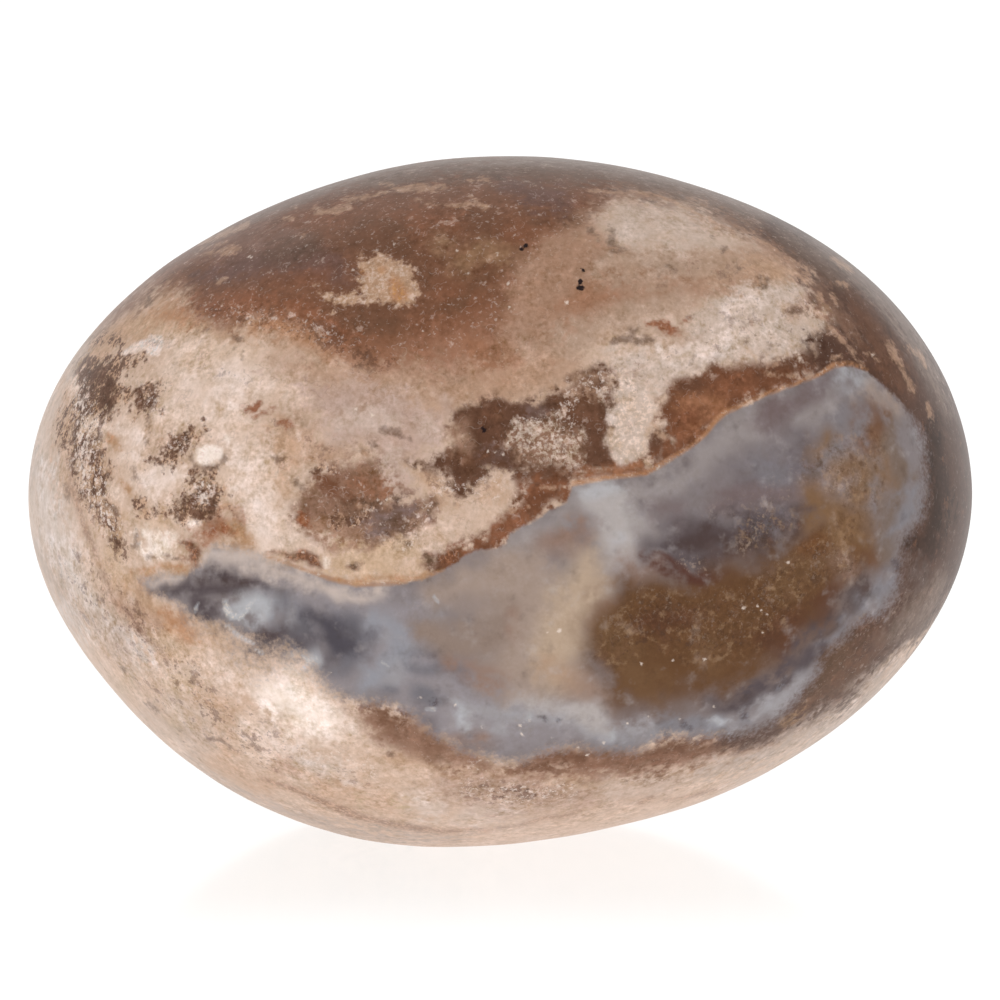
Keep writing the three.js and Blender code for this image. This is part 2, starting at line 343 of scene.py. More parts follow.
    ("plum", 1, .9, ((-13, 9.4, .3), (-11.8, 9.7, .6), (-10.4, 10.1, .8), (-8.6, 10.3, .8), (-7.2, 9.9, .6),
     (-6.5, 9.4, .3))),
    ("mauve", .9, .8, ((-12.4, 10.5, .2), (-10.9, 11.1, .4), (-9.4, 11.3, .5), (-8.2, 11.1, .3))),
    ("umberwood", 1.1, .9, ((-6.4, 11, .4), (-5, 10.9, .5), (-3.6, 10.3, .5), (-3.1, 9.3, .4)),
     ((-6.6, 8, .3), (-5.4, 7.9, .5), (-4.4, 8.1, .4)), ((-1, 12, .4), (.2, 11.7, .4))),
    ("russet", 1, .6, ((-5.2, 11.8, .4), (-3.6, 11.6, .5)), ((.6, 11.4, .4), (2, 11.3, .5)), ((-3, 7.3, .5),
     (-1.4, 7.7, .6), (-1, 8.8, .5), (-2.4, 8.9, .3))),
    ("russet", .8, .5, ((-9.6, 9.2, .3), (-7.6, 9.4, .4)), ((-8.8, 11.6, .2), (-6.6, 12, .3)),
     ((-3.6, 12.3, .2), (-1.6, 12, .3)), ((2, 12.6, .2), (3.4, 12.5, .2))),
    ("umber", .9, .6, ((-9.6, 10.3, .5), (-8, 10.8, .5)), ((-5.6, 11.9, .2), (-4, 11.3, .4)), ((-6, 7.4, .2),
     (-4.4, 7.2, .3)), ((-2, 8.2, .3), (-.6, 9.4, .3))),
    ("gold_tan", 1.1, .7, ((.4, 10.4, .3), (-.7, 10.7, .4), (-1.5, 10.3, .4)), (-2.4, 11.1, .3)),
    ("plum", .7, .9, ((.2, 13.5, .3), (1.3, 13.1, .4), (2.4, 12.8, .5), (2.9, 12.4, .3))),
    ("umberwood", .5, .9, ((1.4, 12.1, .15), (2.6, 11.95, .25), (3.5, 11.9, .25), (3.9, 12.1, .15))),
    ("russet", .9, 1, ((-12.9, 8.1, .3), (-11.6, 8.2, .5), (-10.2, 8.2, .4), (-8.8, 8, .4), (-7.8, 7.5, .4),
     (-6.6, 6.8, .5), (-5.6, 6.4, .5), (-4.6, 6.1, .35))),
    ("copper", .8, .8, ((-11.2, 7.8, .2), (-9.8, 7.5, .35), (-8.6, 7.2, .35), (-7.4, 6.6, .35),
     (-6.3, 5.9, .4), (-5.3, 5.7, .3)), (-13.6, 8.1, .2)),
    ("sand", .8, .8, ((-10.4, 7.1, .25), (-9.2, 6.9, .35), (-8.2, 6.6, .35), (-7.4, 6.1, .25)),
     ((-12.8, 7.6, .12), (-13.8, 7.7, .25), (-14.6, 7.8, .2))),
    # painted reflection: this grey-brown band and the pale line in the next field run along the top edge
    ("taupe", .9, .9, ((-13.4, 10.9, .15), (-9.4, 12.8, .4), (-6, 13.7, .5), (-2.4, 14.1, .5),
     (1.6, 14.3, .6), (5.4, 13.9, .6), (8.4, 13, .6), (11.4, 11.9, .6), (13.2, 10.8, .5))),
    ("drift_grey", .5, .8, ((-8, 13.2, .1), (-4, 14.2, .15), (0, 14.5, .2), (4, 14.4, .2), (8, 13.4, .15),
     (11, 12.2, .12))),
    # the middle
    ("fawn", 2, 1, ((-9.4, 5.9, .4), (-7.4, 5.2, .6), (-5.6, 4.9, .8), (-3.8, 5, .9), (-2, 5, 1.1),
     (-.4, 5.2, 1.2), (1.2, 5.4, 1), (2.8, 5.8, .7))),
    ("clay", 1.6, .9, ((-5.6, 6.1, .4), (-3.8, 6.3, .6), (-2, 6.4, .8), (-.6, 6.8, .9), (.6, 7.6, .8),
     (1, 8.6, .7))),
    ("biscuit", 1.6, 1, ((.2, 6.9), (1.4, 6.2), (2.8, 6.5), (4.4, 7.3), (6, 8.1), (8, 8.5), (10, 8.9),
     (12, 9.2), (12.3, 9.9), (11, 10.6), (9, 10.6), (7, 10.4), (5.4, 10.5), (4.4, 11.2), (3.6, 11.9),
     (2.2, 11.2), (1.2, 10.2), (.5, 8.7))),
    ("copper", .9, .6, ((2.7, 8, .25), (3.6, 8.5, .4), (4.6, 8.7, .3)), ((-1.2, 6.3, .4), (.4, 6, .4))),
    ("mushroom", 1, 1, ((2.8, 6.7, .6), (3.9, 7.3, .5), (5.2, 7.9, .4), (6.4, 8.3, .5), (7.6, 8.4, .4)),
     ((5.4, 10.5, .3), (7.4, 10.3, .3))),
    ("pearl", 1.3, .95, ((4.3, 12.2), (5.2, 12.7), (6.4, 12.7), (7.6, 12.4), (8.8, 11.9), (9.7, 11.4),
     (10.6, 11), (10.6, 10.7), (9.8, 10.6), (8.6, 10.7), (7.2, 10.6), (5.8, 10.7), (5, 10.9), (4.4, 11.4))),
    ("shell", .8, .8, ((6.8, 11.6, .4), (8.2, 11.4, .4)), (5.6, 11.6, .3)),
    ("tan", .8, .9, ((8.6, 10, .4), (10.2, 9.8, .5), (11.6, 9.5, .5), (12.6, 9.3, .3))),
    ("biscuit", .5, .5, ((10.4, 9.3, .25), (11, 9.2, .3)), (10.2, 10.1, .15)),
    ("shell", .6, 1, SHELL_FIELD, ((4.6, 6.5, .15), (5.2, 6.9, .1))),
    ("petal", .6, .6, ((7, 6, .25), (7.8, 6.3, .25), (9, 6.4, .3), (10.2, 7, .3), (11.4, 7.2, .3)),
     ((9.8, 8.2, .3), (11, 8.3, .3))),
    ("mushroom", .5, .6, ((6.6, 7, .12), (7.8, 6.95, .15), (8.7, 7.3, .12)), (5.8, 5.3, .3)),
    ("mushroom", .7, .8, ((5.4, 7.4, .3), (6.6, 7.2, .4), (7.6, 7.3, .4)), ((4.6, 9.8, .5), (6.4, 9.9, .5),
     (8.6, 10.1, .5), (10, 9.9, .4))),
    ("cocoa", .6, .8, ((12.5, 8, .25), (13.3, 8.4, .4), (13.3, 9, .3))),
    ("cream", .7, .9, ((-13.6, 3.7, .35), (-12.6, 4.2, .5), (-12, 3.5, .4))),
    ("tan", .8, .9, ((-9.5, 3.3, .25), (-9.2, 2.2, .4), (-9, 1, .35), (-9, 0, .2))),
    ("rose_grey", .9, 1, ROSE_FIELD),
    ("shell", .8, .6, ((-7, 3.2, .4), (-5.8, 3.4, .4), (-4.6, 3.3, .3)), ((-4.4, 1.9, .3), (-4.25, 1, .25)),
     (-3, 3.1, .4)),
    ("tan", .8, .7, ((-3.4, 4.3, .35), (-2.6, 3.9, .3)), ((-9.6, 3, .3), (-9.4, 2.4, .4))),
    ("fawn", .7, .8, ((-8.6, 3.8, .2), (-8.4, 2.8, .3), (-8.1, 1.9, .4), (-7, 1.9, .35)), (-9.3, 3.6, .15)),
    ("cocoa", .5, 1, COCOA_FIELD),
    ("biscuit", .6, .8, ((-8, -1, .25), (-7, -1.3, .45), (-6.2, -1.5, .4), (-5.3, -1.7, .3)),
     (-5.8, 1.5, .25)),
    ("chestnut", .4, .9, ((-7.7, .75, .15), (-7.1, .6, .35), (-6.6, .2, .3), (-6.3, -.15, .15)),
     ((-8.45, -.6, .1), (-8.3, -.95, .15))),
    ("clay", .4, .9, ((-5.9, .8, .35), (-5.3, .5, .35), (-4.9, .4, .15))),
    ("grape", .5, .9, ((-4.9, -.6, .35), (-4.3, -.5, .45), (-3.7, -.4, .3)), ((-5.6, -1, .25),
     (-4.6, -1.2, .3))),
    ("umber", .3, .9, ((-6.6, -.2, .15), (-5.6, -.3, .2), (-5.1, -.3, .2), (-4.5, -.25, .15)),
     ((-4.9, -.95, .1), (-4.2, -1, .15), (-4, -1.4, .15))),
    ("wheat", .5, 1, ((-7.4, -1.95), (-6.2, -2.1), (-5.2, -2), (-4.7, -1.65), (-4, -1.6), (-3.5, -1.8),
     (-3.2, -2.3), (-3.1, -2.9), (-3.6, -3.2), (-4.8, -3.3), (-6, -3.3), (-7, -3.2), (-7.6, -2.9),
     (-7.5, -2.4))),
    ("oat", .6, .75, ((-3.4, -1.8, .2), (-2.8, -1.4, .3), (-2, -.9, .35), (-1.2, -.4, .25), (-.5, -.1, .2)),
     ((-4.1, -2.6, .3), (-3.7, -2.7, .25)), (-7.4, -2.5, .12)),
    ("tan", .6, .9, ((-1, .45, .15), (-.2, .45, .3), (.2, .5, .2)), ((-3.2, 1.05, .25), (-2.6, 1, .25),
     (-2.4, .5, .2), (-2.1, .2, .2))),
    ("bark", .35, 1, BARK_PATCH),
    ("chestnut", .4, 1, RUST_VEIN),
    ("fawn", .8, .9, ((.8, 2.2, .4), (1.8, 2.4, .6), (2.9, 2.2, .6)), ((3.2, 4.9, .15), (4.1, 4.9, .25)),
     ((-1.7, 3, .2), (-1.4, 2.2, .2))),
    ("umberwood", .5, .8, ((-1.6, 3.5, .12), (-1.3, 3.3, .2)), ((-1.6, 2.1, .3), (-1.2, 1.5, .2)),
     ((2.9, 4.2, .3), (3.6, 3.9, .3), (4.1, 3.4, .2)), (-.1, 3.7, .3)),
    ("cocoa", .4, .8, (-1.45, 3.35, .25), (-1.5, 2.2, .2)),
    ("grape", .5, .7, ((1.5, 3.9, .25), (2, 3.9, .2)), ((-.5, 1.8, .15), (.2, 1.8, .2)), (1.3, 2.6, .25)),
    ("russet", .5, .9, ((1.2, .3, .15), (2, .55, .3), (2.6, .3, .15)), ((-.6, -1.3, .3), (.2, -1, .35),
     (1, -.6, .25)), ((-2.2, -2.3, .3), (-1.4, -2, .25)), ((7.2, 2.3, .2), (8, 3.2, .4), (8.4, 3.7, .3)),
     ((9.6, 5, .3), (10.6, 4.8, .3))),
    ("copper", .5, .9, ((7.8, 4.2, .25), (8.6, 4.3, .45), (9.4, 4.1, .4), (9, 3.6, .3)), ((3.2, .9, .1),
     (4.6, 1.15, .15), (6, 1.4, .15)), ((8.2, 2.6, .1), (8.8, 3.2, .15))),
    ("bark", .5, .8, ((1.3, .9, .2), (2.2, 1.1, .2), (3, 1.05, .15)), ((-3, -2.4, .2), (-2.8, -2.7, .2)),
     ((8, 4.8, .2), (8.6, 5.2, .2)), ((11.2, 5.75, .12), (12.2, 5.8, .15), (13, 5.95, .15))),
    # right flank
    ("walnut", .5, 1, RIGHT_FLANK),
    # painted reflection: the grey-brown band of the top edge, carried round to the right
    ("taupe", .8, .9, ((12, 11.3, .3), (13.4, 10.3, .4), (14.6, 9.4, .4))),
    ("umberwood", .9, .8, ((15, 8.7, .3), (15.4, 7.8, .5), (16, 6.8, .5), (16.6, 5.8, .5), (17.2, 4.7, .3))),
    ("smoke", .9, .9, ((18.4, 2.8, .35), (18.7, 1, .5), (18.7, -.8, .5), (18.3, -2, .4))),
    ("cocoa", .7, .8, ((13.6, 9, .25), (13.8, 8.3, .3), (14.4, 7.6, .3), (14.9, 6.9, .25))),
    ("gold_tan", .5, .7, ((13.5, 7.9, .2), (13.7, 7.4, .2)), (13.4, 8.1, .1)),
    ("sepia", .5, .9, ((13.2, 6.7, .25), (13.6, 6.3, .25), (13.6, 5.9, .15))),
    # painted reflection: the pale line along the upper right edge
    ("drift_grey", .8, .8, ((13.4, 11.1, .2), (14.8, 10.1, .25), (16.2, 8.7, .3), (17.4, 7, .3),
     (18.3, 5.4, .3), (19, 3.8, .2))),
    ("fog", .9, .9, ((17.3, -2.6, .3), (17.8, -3, .4), (17.9, -3.6, .3))),
    ("taupe", .8, .9, ((18.6, -3.6, .3), (17.7, -4.7, .5), (16.9, -5.5, .4), (16.1, -5.9, .35))),
    # painted reflection: a pale line at the lower right edge
    ("drift_grey", .6, .6, ((18.9, -3.4, .25), (18.2, -4.8, .25), (17.4, -5.8, .2))),
    ("umber", .9, 1, ((15.4, -5.4, .2), (14.6, -6.1, .5), (14.4, -6.9, .7), (14.1, -7.7, .6),
     (13.4, -8.4, .4)), ((15.5, -7, .4), (14.8, -7.8, .4))),
    # painted reflection: the grey part of the pale rim along the lower right edge
    ("stone_grey", 1, .9, ((8.8, -11.7, .25), (10.6, -11.1, .3), (12.4, -10.3, .3), (14.2, -9.2, .3),
     (15.8, -8.1, .25), (17.2, -6.7, .15))),
    ("smoke", .6, .9, ((17, -1.5, .2), (17.3, -1.9, .3))),
    ("umberwood", .9, .6, ((15.9, -5.4, .3), (16.2, -6.3, .4)), ((15.4, -6.9, .4), (14.4, -7.9, .3)),
     ((14.6, -8, .2), (13.3, -8.5, .2), (12.9, -8.9, .2)), ((15.2, -7.2, .12), (15.8, -7, .12))),
    ("gold_tan", .4, .9, ((12.7, -9, .15), (12.3, -9.4, .2))),
)
# The same for the chalcedony, which is smooth and clouded.
CHALCEDONY_FIELDS = (
    # broad zones, from left to right
    ("lavender", 2.4, 1, ((-9, -4.4, 1), (-6, -5, 2), (-4.4, -7, 1.6), (-2.2, -8.8, 1.4), (.5, -9.4, 1))),
    ("almond", 2, 1, ((-2.6, -3.9, .5), (-.6, -3.4, 1), (1, -3, 1.4), (.8, -5, 1.9), (.6, -6.8, 1.5),
     (1.6, -8, .8))),
    ("straw", 1.8, 1, ((3.6, -2.4, .5), (3.5, -3.8, 1.1), (3, -5.4, 1.3), (2.4, -6.8, 1), (2.6, -7.8, .6))),
    ("biscuit", 1.4, .6, ((2.2, -7, .4), (3, -7.6, .6), (3.6, -8.4, .6), (4.6, -8.9, .3))),
    ("rosewood", 1.2, 1, ((1.9, -1.5, .4), (2.7, -1.4, .6), (3.2, -1, .3))),
    ("pewter", 1, .9, ((5.4, .4, .4), (6.4, .6, .5), (8, 1.5, .5), (9.4, 2.6, .5), (10.6, 3.4, .5),
     (12.2, 4.2, .4)), ((.6, -1.8, .4), (1.4, -1.1, .3), (2.6, -.5, .3))),
    # the dark left end
    ("slate", 1.2, .9, ((-9.6, -3.9, .5), (-8.7, -4.8, .6), (-8.6, -6, .6)), ((-6.4, -4.8, .6),
     (-5.9, -6.2, .5))),
    ("ink", 1.2, 1, ((-8, -4.9, .4), (-7.3, -5.3, .8), (-6.8, -6.1, .8), (-6.3, -6.7, .5))),
    ("lavender", 1.2, .8, ((-7.2, -4.1, .3), (-5.4, -4.4, .4), (-4.2, -4.7, .5), (-3.2, -4.7, .5)),
     ((-7.4, -7.8, .3), (-6.6, -7.6, .35))),
    ("soot", .7, 1, ((-15.2, -3.85, .12), (-14.2, -3.8, .25), (-13.4, -3.8, .35), (-12.4, -3.5, .4),
     (-11.2, -3.4, .4), (-10, -3.4, .3), (-9.4, -3.6, .15)), ((-12.8, -4.5, .5), (-12.3, -5.1, .5)),
     ((-10.9, -6.2, .3), (-10, -6, .5), (-9.2, -5.8, .4), (-8.4, -6.1, .25)), ((-10.6, -6.8, .3),
     (-9.6, -6.6, .3))),
    ("mulberry", .5, .7, ((-13, -3.2, .12), (-12.2, -3.1, .15)), ((-12.9, -5.3, .2), (-12, -5.5, .15)),
     ((-10, -5.8, .3), (-9.5, -5.7, .2)), ((-11.4, -3.6, .2), (-10.4, -3.5, .15))),
    ("mist", .7, 1, ((-12.5, -2.1, .3), (-11.2, -2.3, .45), (-10, -2.6, .4), (-8.8, -3, .3), (-7.8, -3.4, .2),
     (-6.8, -3.7, .3), (-5.8, -3.85, .35), (-4.8, -3.8, .25)), ((-14.9, -3.45, .12), (-13.6, -3.3, .15))),
    ("dove", 1, .9, ((-5, -5.3, .4), (-4.5, -6.2, .6), (-4.3, -7.1, .6), (-5.4, -7.7, .5), (-6, -8.1, .2))),
    ("veil", .8, .9, ((-11.4, -4.8, .25), (-10.7, -4.5, .45), (-9.9, -4.35, .5)), ((-8.4, -6.6, .2),
     (-8.1, -6.85, .15))),
    ("silver", .6, .7, ((-8.7, -4.2, .15), (-8.8, -4.9, .15)), (-9.6, -3.7, .2), (-4.6, -6.2, .25),
     ((-5, -8, .2), (-4.2, -7.4, .25)), (-2.3, -4.7, .25)),
    ("slate", .7, .9, ((-3.5, -7.3, .35), (-3, -7.2, .35)), ((-3.6, -8.3, .3), (-2.9, -8.5, .35)),
     (-4.9, -8.4, .2), ((-7.4, -7.2, .2), (-6.5, -7, .2))),
    ("heather", .8, .8, ((-2.4, -7.1, .3), (-1.8, -7.4, .25)), ((-3.4, -9.1, .2), (-3, -9.5, .2))),
    ("pebble", 1.3, 1, ((-2.8, -5.7, .6), (-1.6, -6, .8), (-.6, -5.4, .7), (0, -4.6, .4))),
    ("rosewood", .9, .9, ((-1.6, -7.1, .3), (-.6, -7.3, .4)), ((-2, -9.9, .2), (-1.2, -10.1, .3),
     (-.4, -10.2, .25)), (.2, -5.2, .3)),
    # the right end above the brown pool
    ("heather", 1.6, .9, ((10.4, 1, .6), (11.6, 1.2, .8), (12.8, 1.4, .8), (13, 2.2, .6))),
    ("orchid", 1.2, 1, ((11.2, 3.2, .4), (12.2, 3.8, .6), (13.2, 4.4, .4), (14, 4.7, .3)), ((9.6, .2, .5),
     (10.6, .2, .6), (13.2, .2, .6)), ((6.8, -.3, .25), (7.6, -.4, .3))),
    ("lilac", 1.4, 1, ((3.6, .2, .5), (4.6, 0, .9), (5.1, -1, 1.1), (5, -2.1, .8))),
    ("mulberry", .8, .9, ((12.6, -.6, .35), (13.4, -.2, .35))),
    ("pewter", .8, .8, ((5.8, -1.2, .4), (6.6, -1.2, .3)), ((13, 3.4, .4), (13.9, 3.6, .4), (14.5, 4.2, .25)),
     ((10.2, 2.8, .4), (11.2, 2.6, .25))),
    ("steel", 1, .7, ((10.8, 1.6, .3), (11.8, 1.2, .4)), ((14.2, 2.7, .4), (14.8, 3.4, .3))),
    ("veil", .5, .6, ((3.3, .3, .15), (4, .4, .2), (5.2, .7, .15)), (4.8, -1.9, .25), ((14.6, 5.3, .2),
     (15.1, 5, .3), (15.6, 4.8, .2)), ((17.5, 2.95, .15), (17.85, 2.6, .12))),
    ("soot", 1.4, .95, ((6.8, -2, .4), (8, -1.7, .8), (9.4, -1.3, .8), (10.8, -1, .6), (12, -.9, .5)),
     ((7.4, -2.6, .4), (9, -2.4, .7), (10.6, -2, .6))),
    ("mulberry", 1, .9, ((7.8, -1.8, .4), (9, -1.5, .6), (10, -1.3, .4)), (12.3, -1.3, .3), ((10.2, -1.8, .5),
     (11.4, -1.9, .5), (12, -2.2, .3))),
    # the brown pool
    ("amber", 1.9, 1, ((4.3, -8.2), (3.8, -6.6), (3.9, -5.2), (4.3, -4), (5.2, -3.3), (6.2, -3), (7.2, -3.3),
     (8.4, -3.2), (9.4, -2.7), (10.8, -2.4), (12.2, -1.9), (13, -.9), (13.8, -.3), (15, -.4), (15.8, -1.2),
     (16.1, -2.4), (15.6, -3.4), (14.7, -3.9), (14.4, -4.6), (14, -5.4), (13.4, -6), (12.7, -6.6), (12, -7.2),
     (10.9, -7.6), (10.2, -8.2), (9, -8.5), (7.6, -8.9), (6, -9.1), (4.8, -9))),
    ("soot", .8, .9, ((13.2, -6.3, .35), (12.6, -6.9, .45), (12.1, -6.7, .3)), ((10.6, -8.3, .3),
     (9.6, -8.7, .35), (8.8, -8.7, .2))),
    ("rosewood", 1.2, .6, ((5, -2.8, .3), (5.8, -3, .4), (6.5, -2.9, .3)), ((4.5, -4.3, .3), (4.2, -5.2, .2)),
     ((14.2, -2.6, .4), (14.6, -3.2, .35)), ((14.2, .6, .4), (14.9, .6, .3))),
    ("topaz", 1, .9, ((4.7, -5.2, .5), (5.3, -6.4, .7), (5.8, -7.6, .7), (6.6, -8.3, .6)), (8.8, -6.6, .5),
     ((12.4, -3.6, .7), (13.4, -2.6, .6))),
    ("garnet", .8, .5, ((6.4, -5.4, .5), (7.8, -5.2, .5)), ((13.8, -4.6, .5), (14, -3.9, .3)),
     ((8.2, -3.4, .2), (9, -3.4, .3), (9.8, -3.3, .2)), ((12.6, -5.4, .6), (11.6, -6.2, .5))),
    ("garnet", .4, .9, ((6.1, -2.3, .15), (7, -2.7, .28), (7.8, -3.2, .3), (8.8, -3.4, .22))),
    ("honey", 1.2, .9, ((13.4, .4, .4), (13.8, -.5, .6), (15, -1, .8), (14.6, -1.8, .6)), ((13.6, 1.8, .3),
     (14.2, 2.6, .3)), ((14.6, 1, .5), (15.6, 1.4, .5), (15.4, .2, .5)), ((16.1, 2.8, .4), (16.4, 1.6, .5),
     (16.8, .6, .4))),
    ("cinnamon", .9, .8, ((15.8, 4, .2), (16.1, 3.2, .4), (15.7, 2.6, .3)), (13.4, -2, .4), (15.5, -2.7, .4)),
    ("almond", .8, .9, ((15.7, 4.6, .25), (16.3, 4.2, .3), (16.8, 3.7, .2))),
    ("taupe", .9, .9, ((16.5, -.3, .4), (16.7, -1.6, .4), (16.3, -2.4, .3))),
    # the pale rim of the right and lower edge
    ("ash", .6, .8, ((17.1, 3.5, .3), (17.6, 2.6, .25), (17.8, 1.8, .2), (17.9, 1, .2))),
    ("taupe", .6, .9, ((16.7, 3, .3), (16.9, 2, .35), (17.2, 1, .35), (17, .4, .2))),
    ("steel", .6, 1, ((17.4, .2, .3), (17.6, -.4, .3), (17.2, -.9, .25), (16.8, -1.4, .2)),
     ((16.8, -2.9, .15), (16.6, -3.5, .25), (15.9, -3.9, .3), (15.4, -4.3, .35), (15.6, -4.6, .25)),
     ((14.6, -5.1, .2), (14.3, -5.5, .25), (13.8, -5.9, .2))),
    ("mulberry", .5, .8, ((15.3, -3.6, .2), (14.8, -4.5, .25), (14.2, -5.1, .25), (13.6, -5.6, .2))),
    ("silver", .6, .9, ((13.1, -7.4, .12), (12.7, -7.7, .2), (12.2, -8.3, .3), (11.5, -8.8, .25)),
     (15.8, -4.3, .2)),
    ("soot", .6, 1, ((13.7, -5.9, .15), (13.3, -6.5, .4), (12.9, -6.9, .35), (12, -7.5, .3)),
     ((11.5, -7.9, .35), (10.8, -8.2, .4), (10, -8.5, .3))),
    ("steel", .6, 1, ((9.2, -9.5, .4), (8, -9.6, .45), (6.8, -9.8, .4))),
    ("silver", .6, 1, ((11.6, -9, .25), (10.9, -9.2, .25), (9.8, -9.4, .3)), ((6.2, -9.9, .3),
     (5.2, -10.1, .4), (4.2, -9.9, .5), (3, -9.6, .5), (1.6, -9.5, .5), (.2, -9.3, .5), (-1.2, -9, .4))),
    ("steel", .5, .7, ((7.4, -9.9, .1), (9.2, -9.8, .1), (10.6, -9.7, .12)), ((4.6, -10.4, .2),
     (5.6, -10.5, .2)), (1.8, -10.5, .2), (10.4, -9.2, .2)),
    ("lilac", .8, .9, ((2, -8.9, .3), (2.8, -9.2, .4), (3.7, -9.2, .5), (4.4, -9.5, .3)), ((.6, -8.5, .3),
     (1.3, -8.7, .3))),
    ("lavender", .6, .8, ((0, -10.3, .4), (1.4, -10.3, .35), (3, -10.2, .2)), (-1.4, -9.8, .25)),
    ("veil", .4, .7, ((-1.75, -9, .12), (-1.5, -9.3, .12)), ((9.6, -9.6, .15), (8.8, -9.5, .15)),
     (5, -10.2, .15), (1.2, -9.3, .12)),
)
# Versions of the two grounds, which noise mixes: name, base colour, fields, sway, growths (mm), first seed
GROUNDS = (
    ("jasper", "oat", JASPER_FIELDS, .42, (-.15, -.05, .05, .15), 31),
    ("chalcedony", "ash", CHALCEDONY_FIELDS, .45, (-.12, .12), 51),
)
# Share of dark and of pale grains: value, softness (mm), strength and shapes. Later ones lie on top.
DARK_GRAINS = (
    (.2, .8, 1, ((-12.6, 5.8, .4), (-11, 5.2, .4)), ((-10.6, 3.8, .4), (-9.6, 3.2, .4), (-9.2, 1.6, .3)),
     ((-14.6, 6.8, .5), (-13, 7.2, .5))),
    (.14, 1.5, 1, ((-9.6, 5.6, .6), (-7, 5.4, .8), (-4, 5.6, .8), (-1, 5.8, .8), (2, 6.2, .6))),
    (.26, 1, 1, ((-18, -3, 1), (-16.4, -5, 1.2), (-14.4, -7, 1.2), (-12, -9.4, 1), (-9, -11, .8))),
    (.3, .8, 1, ((-13, 8.1, .3), (-11.6, 8, .5), (-9.6, 7.6, .6), (-7.8, 7.2, .6), (-6, 6.2, .6),
     (-4.8, 5.9, .4))),
    (.4, .8, 1, ((-17.4, 5.6, .7), (-17, 4.6, .9), (-17.6, 3.2, .7), (-17.6, 1.6, .8), (-17.2, .2, .7),
     (-16.5, -1.2, .4), (-16, -2.4, .3)), ((-15, 4.4, .7), (-14.4, 4.8, .3)), ((-14, 2, .5),
     (-13.2, 2.7, .5)), ((-12.6, .8, .6), (-12.6, -.2, .8), (-14.4, -.5, .4))),
    (.22, .6, 1, COCOA_FIELD, ((-8.4, 2.8, .4), (-7.9, 1.8, .4), (-6.2, 2.4, .3))),
    (.22, .5, 1, BARK_PATCH, ((-3, .9, .2), (-2.2, .2, .3), (-.6, .6, .3)), ((-4.6, -1.8, .2),
     (-2.9, -1.9, .2))),
    (.3, .9, 1, ((-1.4, -12.3, .4), (0, -12.5, .6), (1.6, -12.5, .5), (3, -12.3, .4))),
    (.2, .9, 1, ((-17, -5.4, .6), (-16, -6.8, .5), (-14.6, -7.4, .5), (-13.2, -10.2, .5)), ((-9.8, -10.4, .4),
     (-8, -11.4, .6), (-6, -11.8, .6)), ((13.2, -8.8, .4), (15.4, -6.8, .4))),
    (.18, .8, 1, SHELL_FIELD, ((8, 9.8, .8), (10.8, 9.5, .6))),
    (.22, .6, 1, ((12.4, 8, .5), (13.6, 8.2, .4), (13.4, 6.6, .4))),
    (.05, .5, 1, ((11.6, 5.1, .3), (9.8, 4.8, .4), (8.2, 3.4, .5), (4, 1.2, .3))),
    # painted highlight: keeps dark grains out of the painted highlight patch
    (0, .8, 1, ((-9.8, -8.1, .5), (-8.4, -8.9, .9), (-7.2, -9.6, .5))),
    (0, .2, 1, CHALCEDONY),
    (.24, .8, 1, ((13.4, 1.2, .6), (14.6, 2, .8), (15.8, 2.6, .6), (15.6, .6, .8), (14.8, -1, .8))),
    (.3, 1, 1, ((4.8, -6.4, .8), (6.4, -5, 1.2), (8.6, -5.6, 1.4), (10.6, -5, 1.4), (12.4, -3.6, 1),
     (13.8, -2.2, .8), (14.8, -2.8, .6)), ((10.8, -1.3, .7), (12.2, -1, .5)), (14.6, .8, .6)),
)
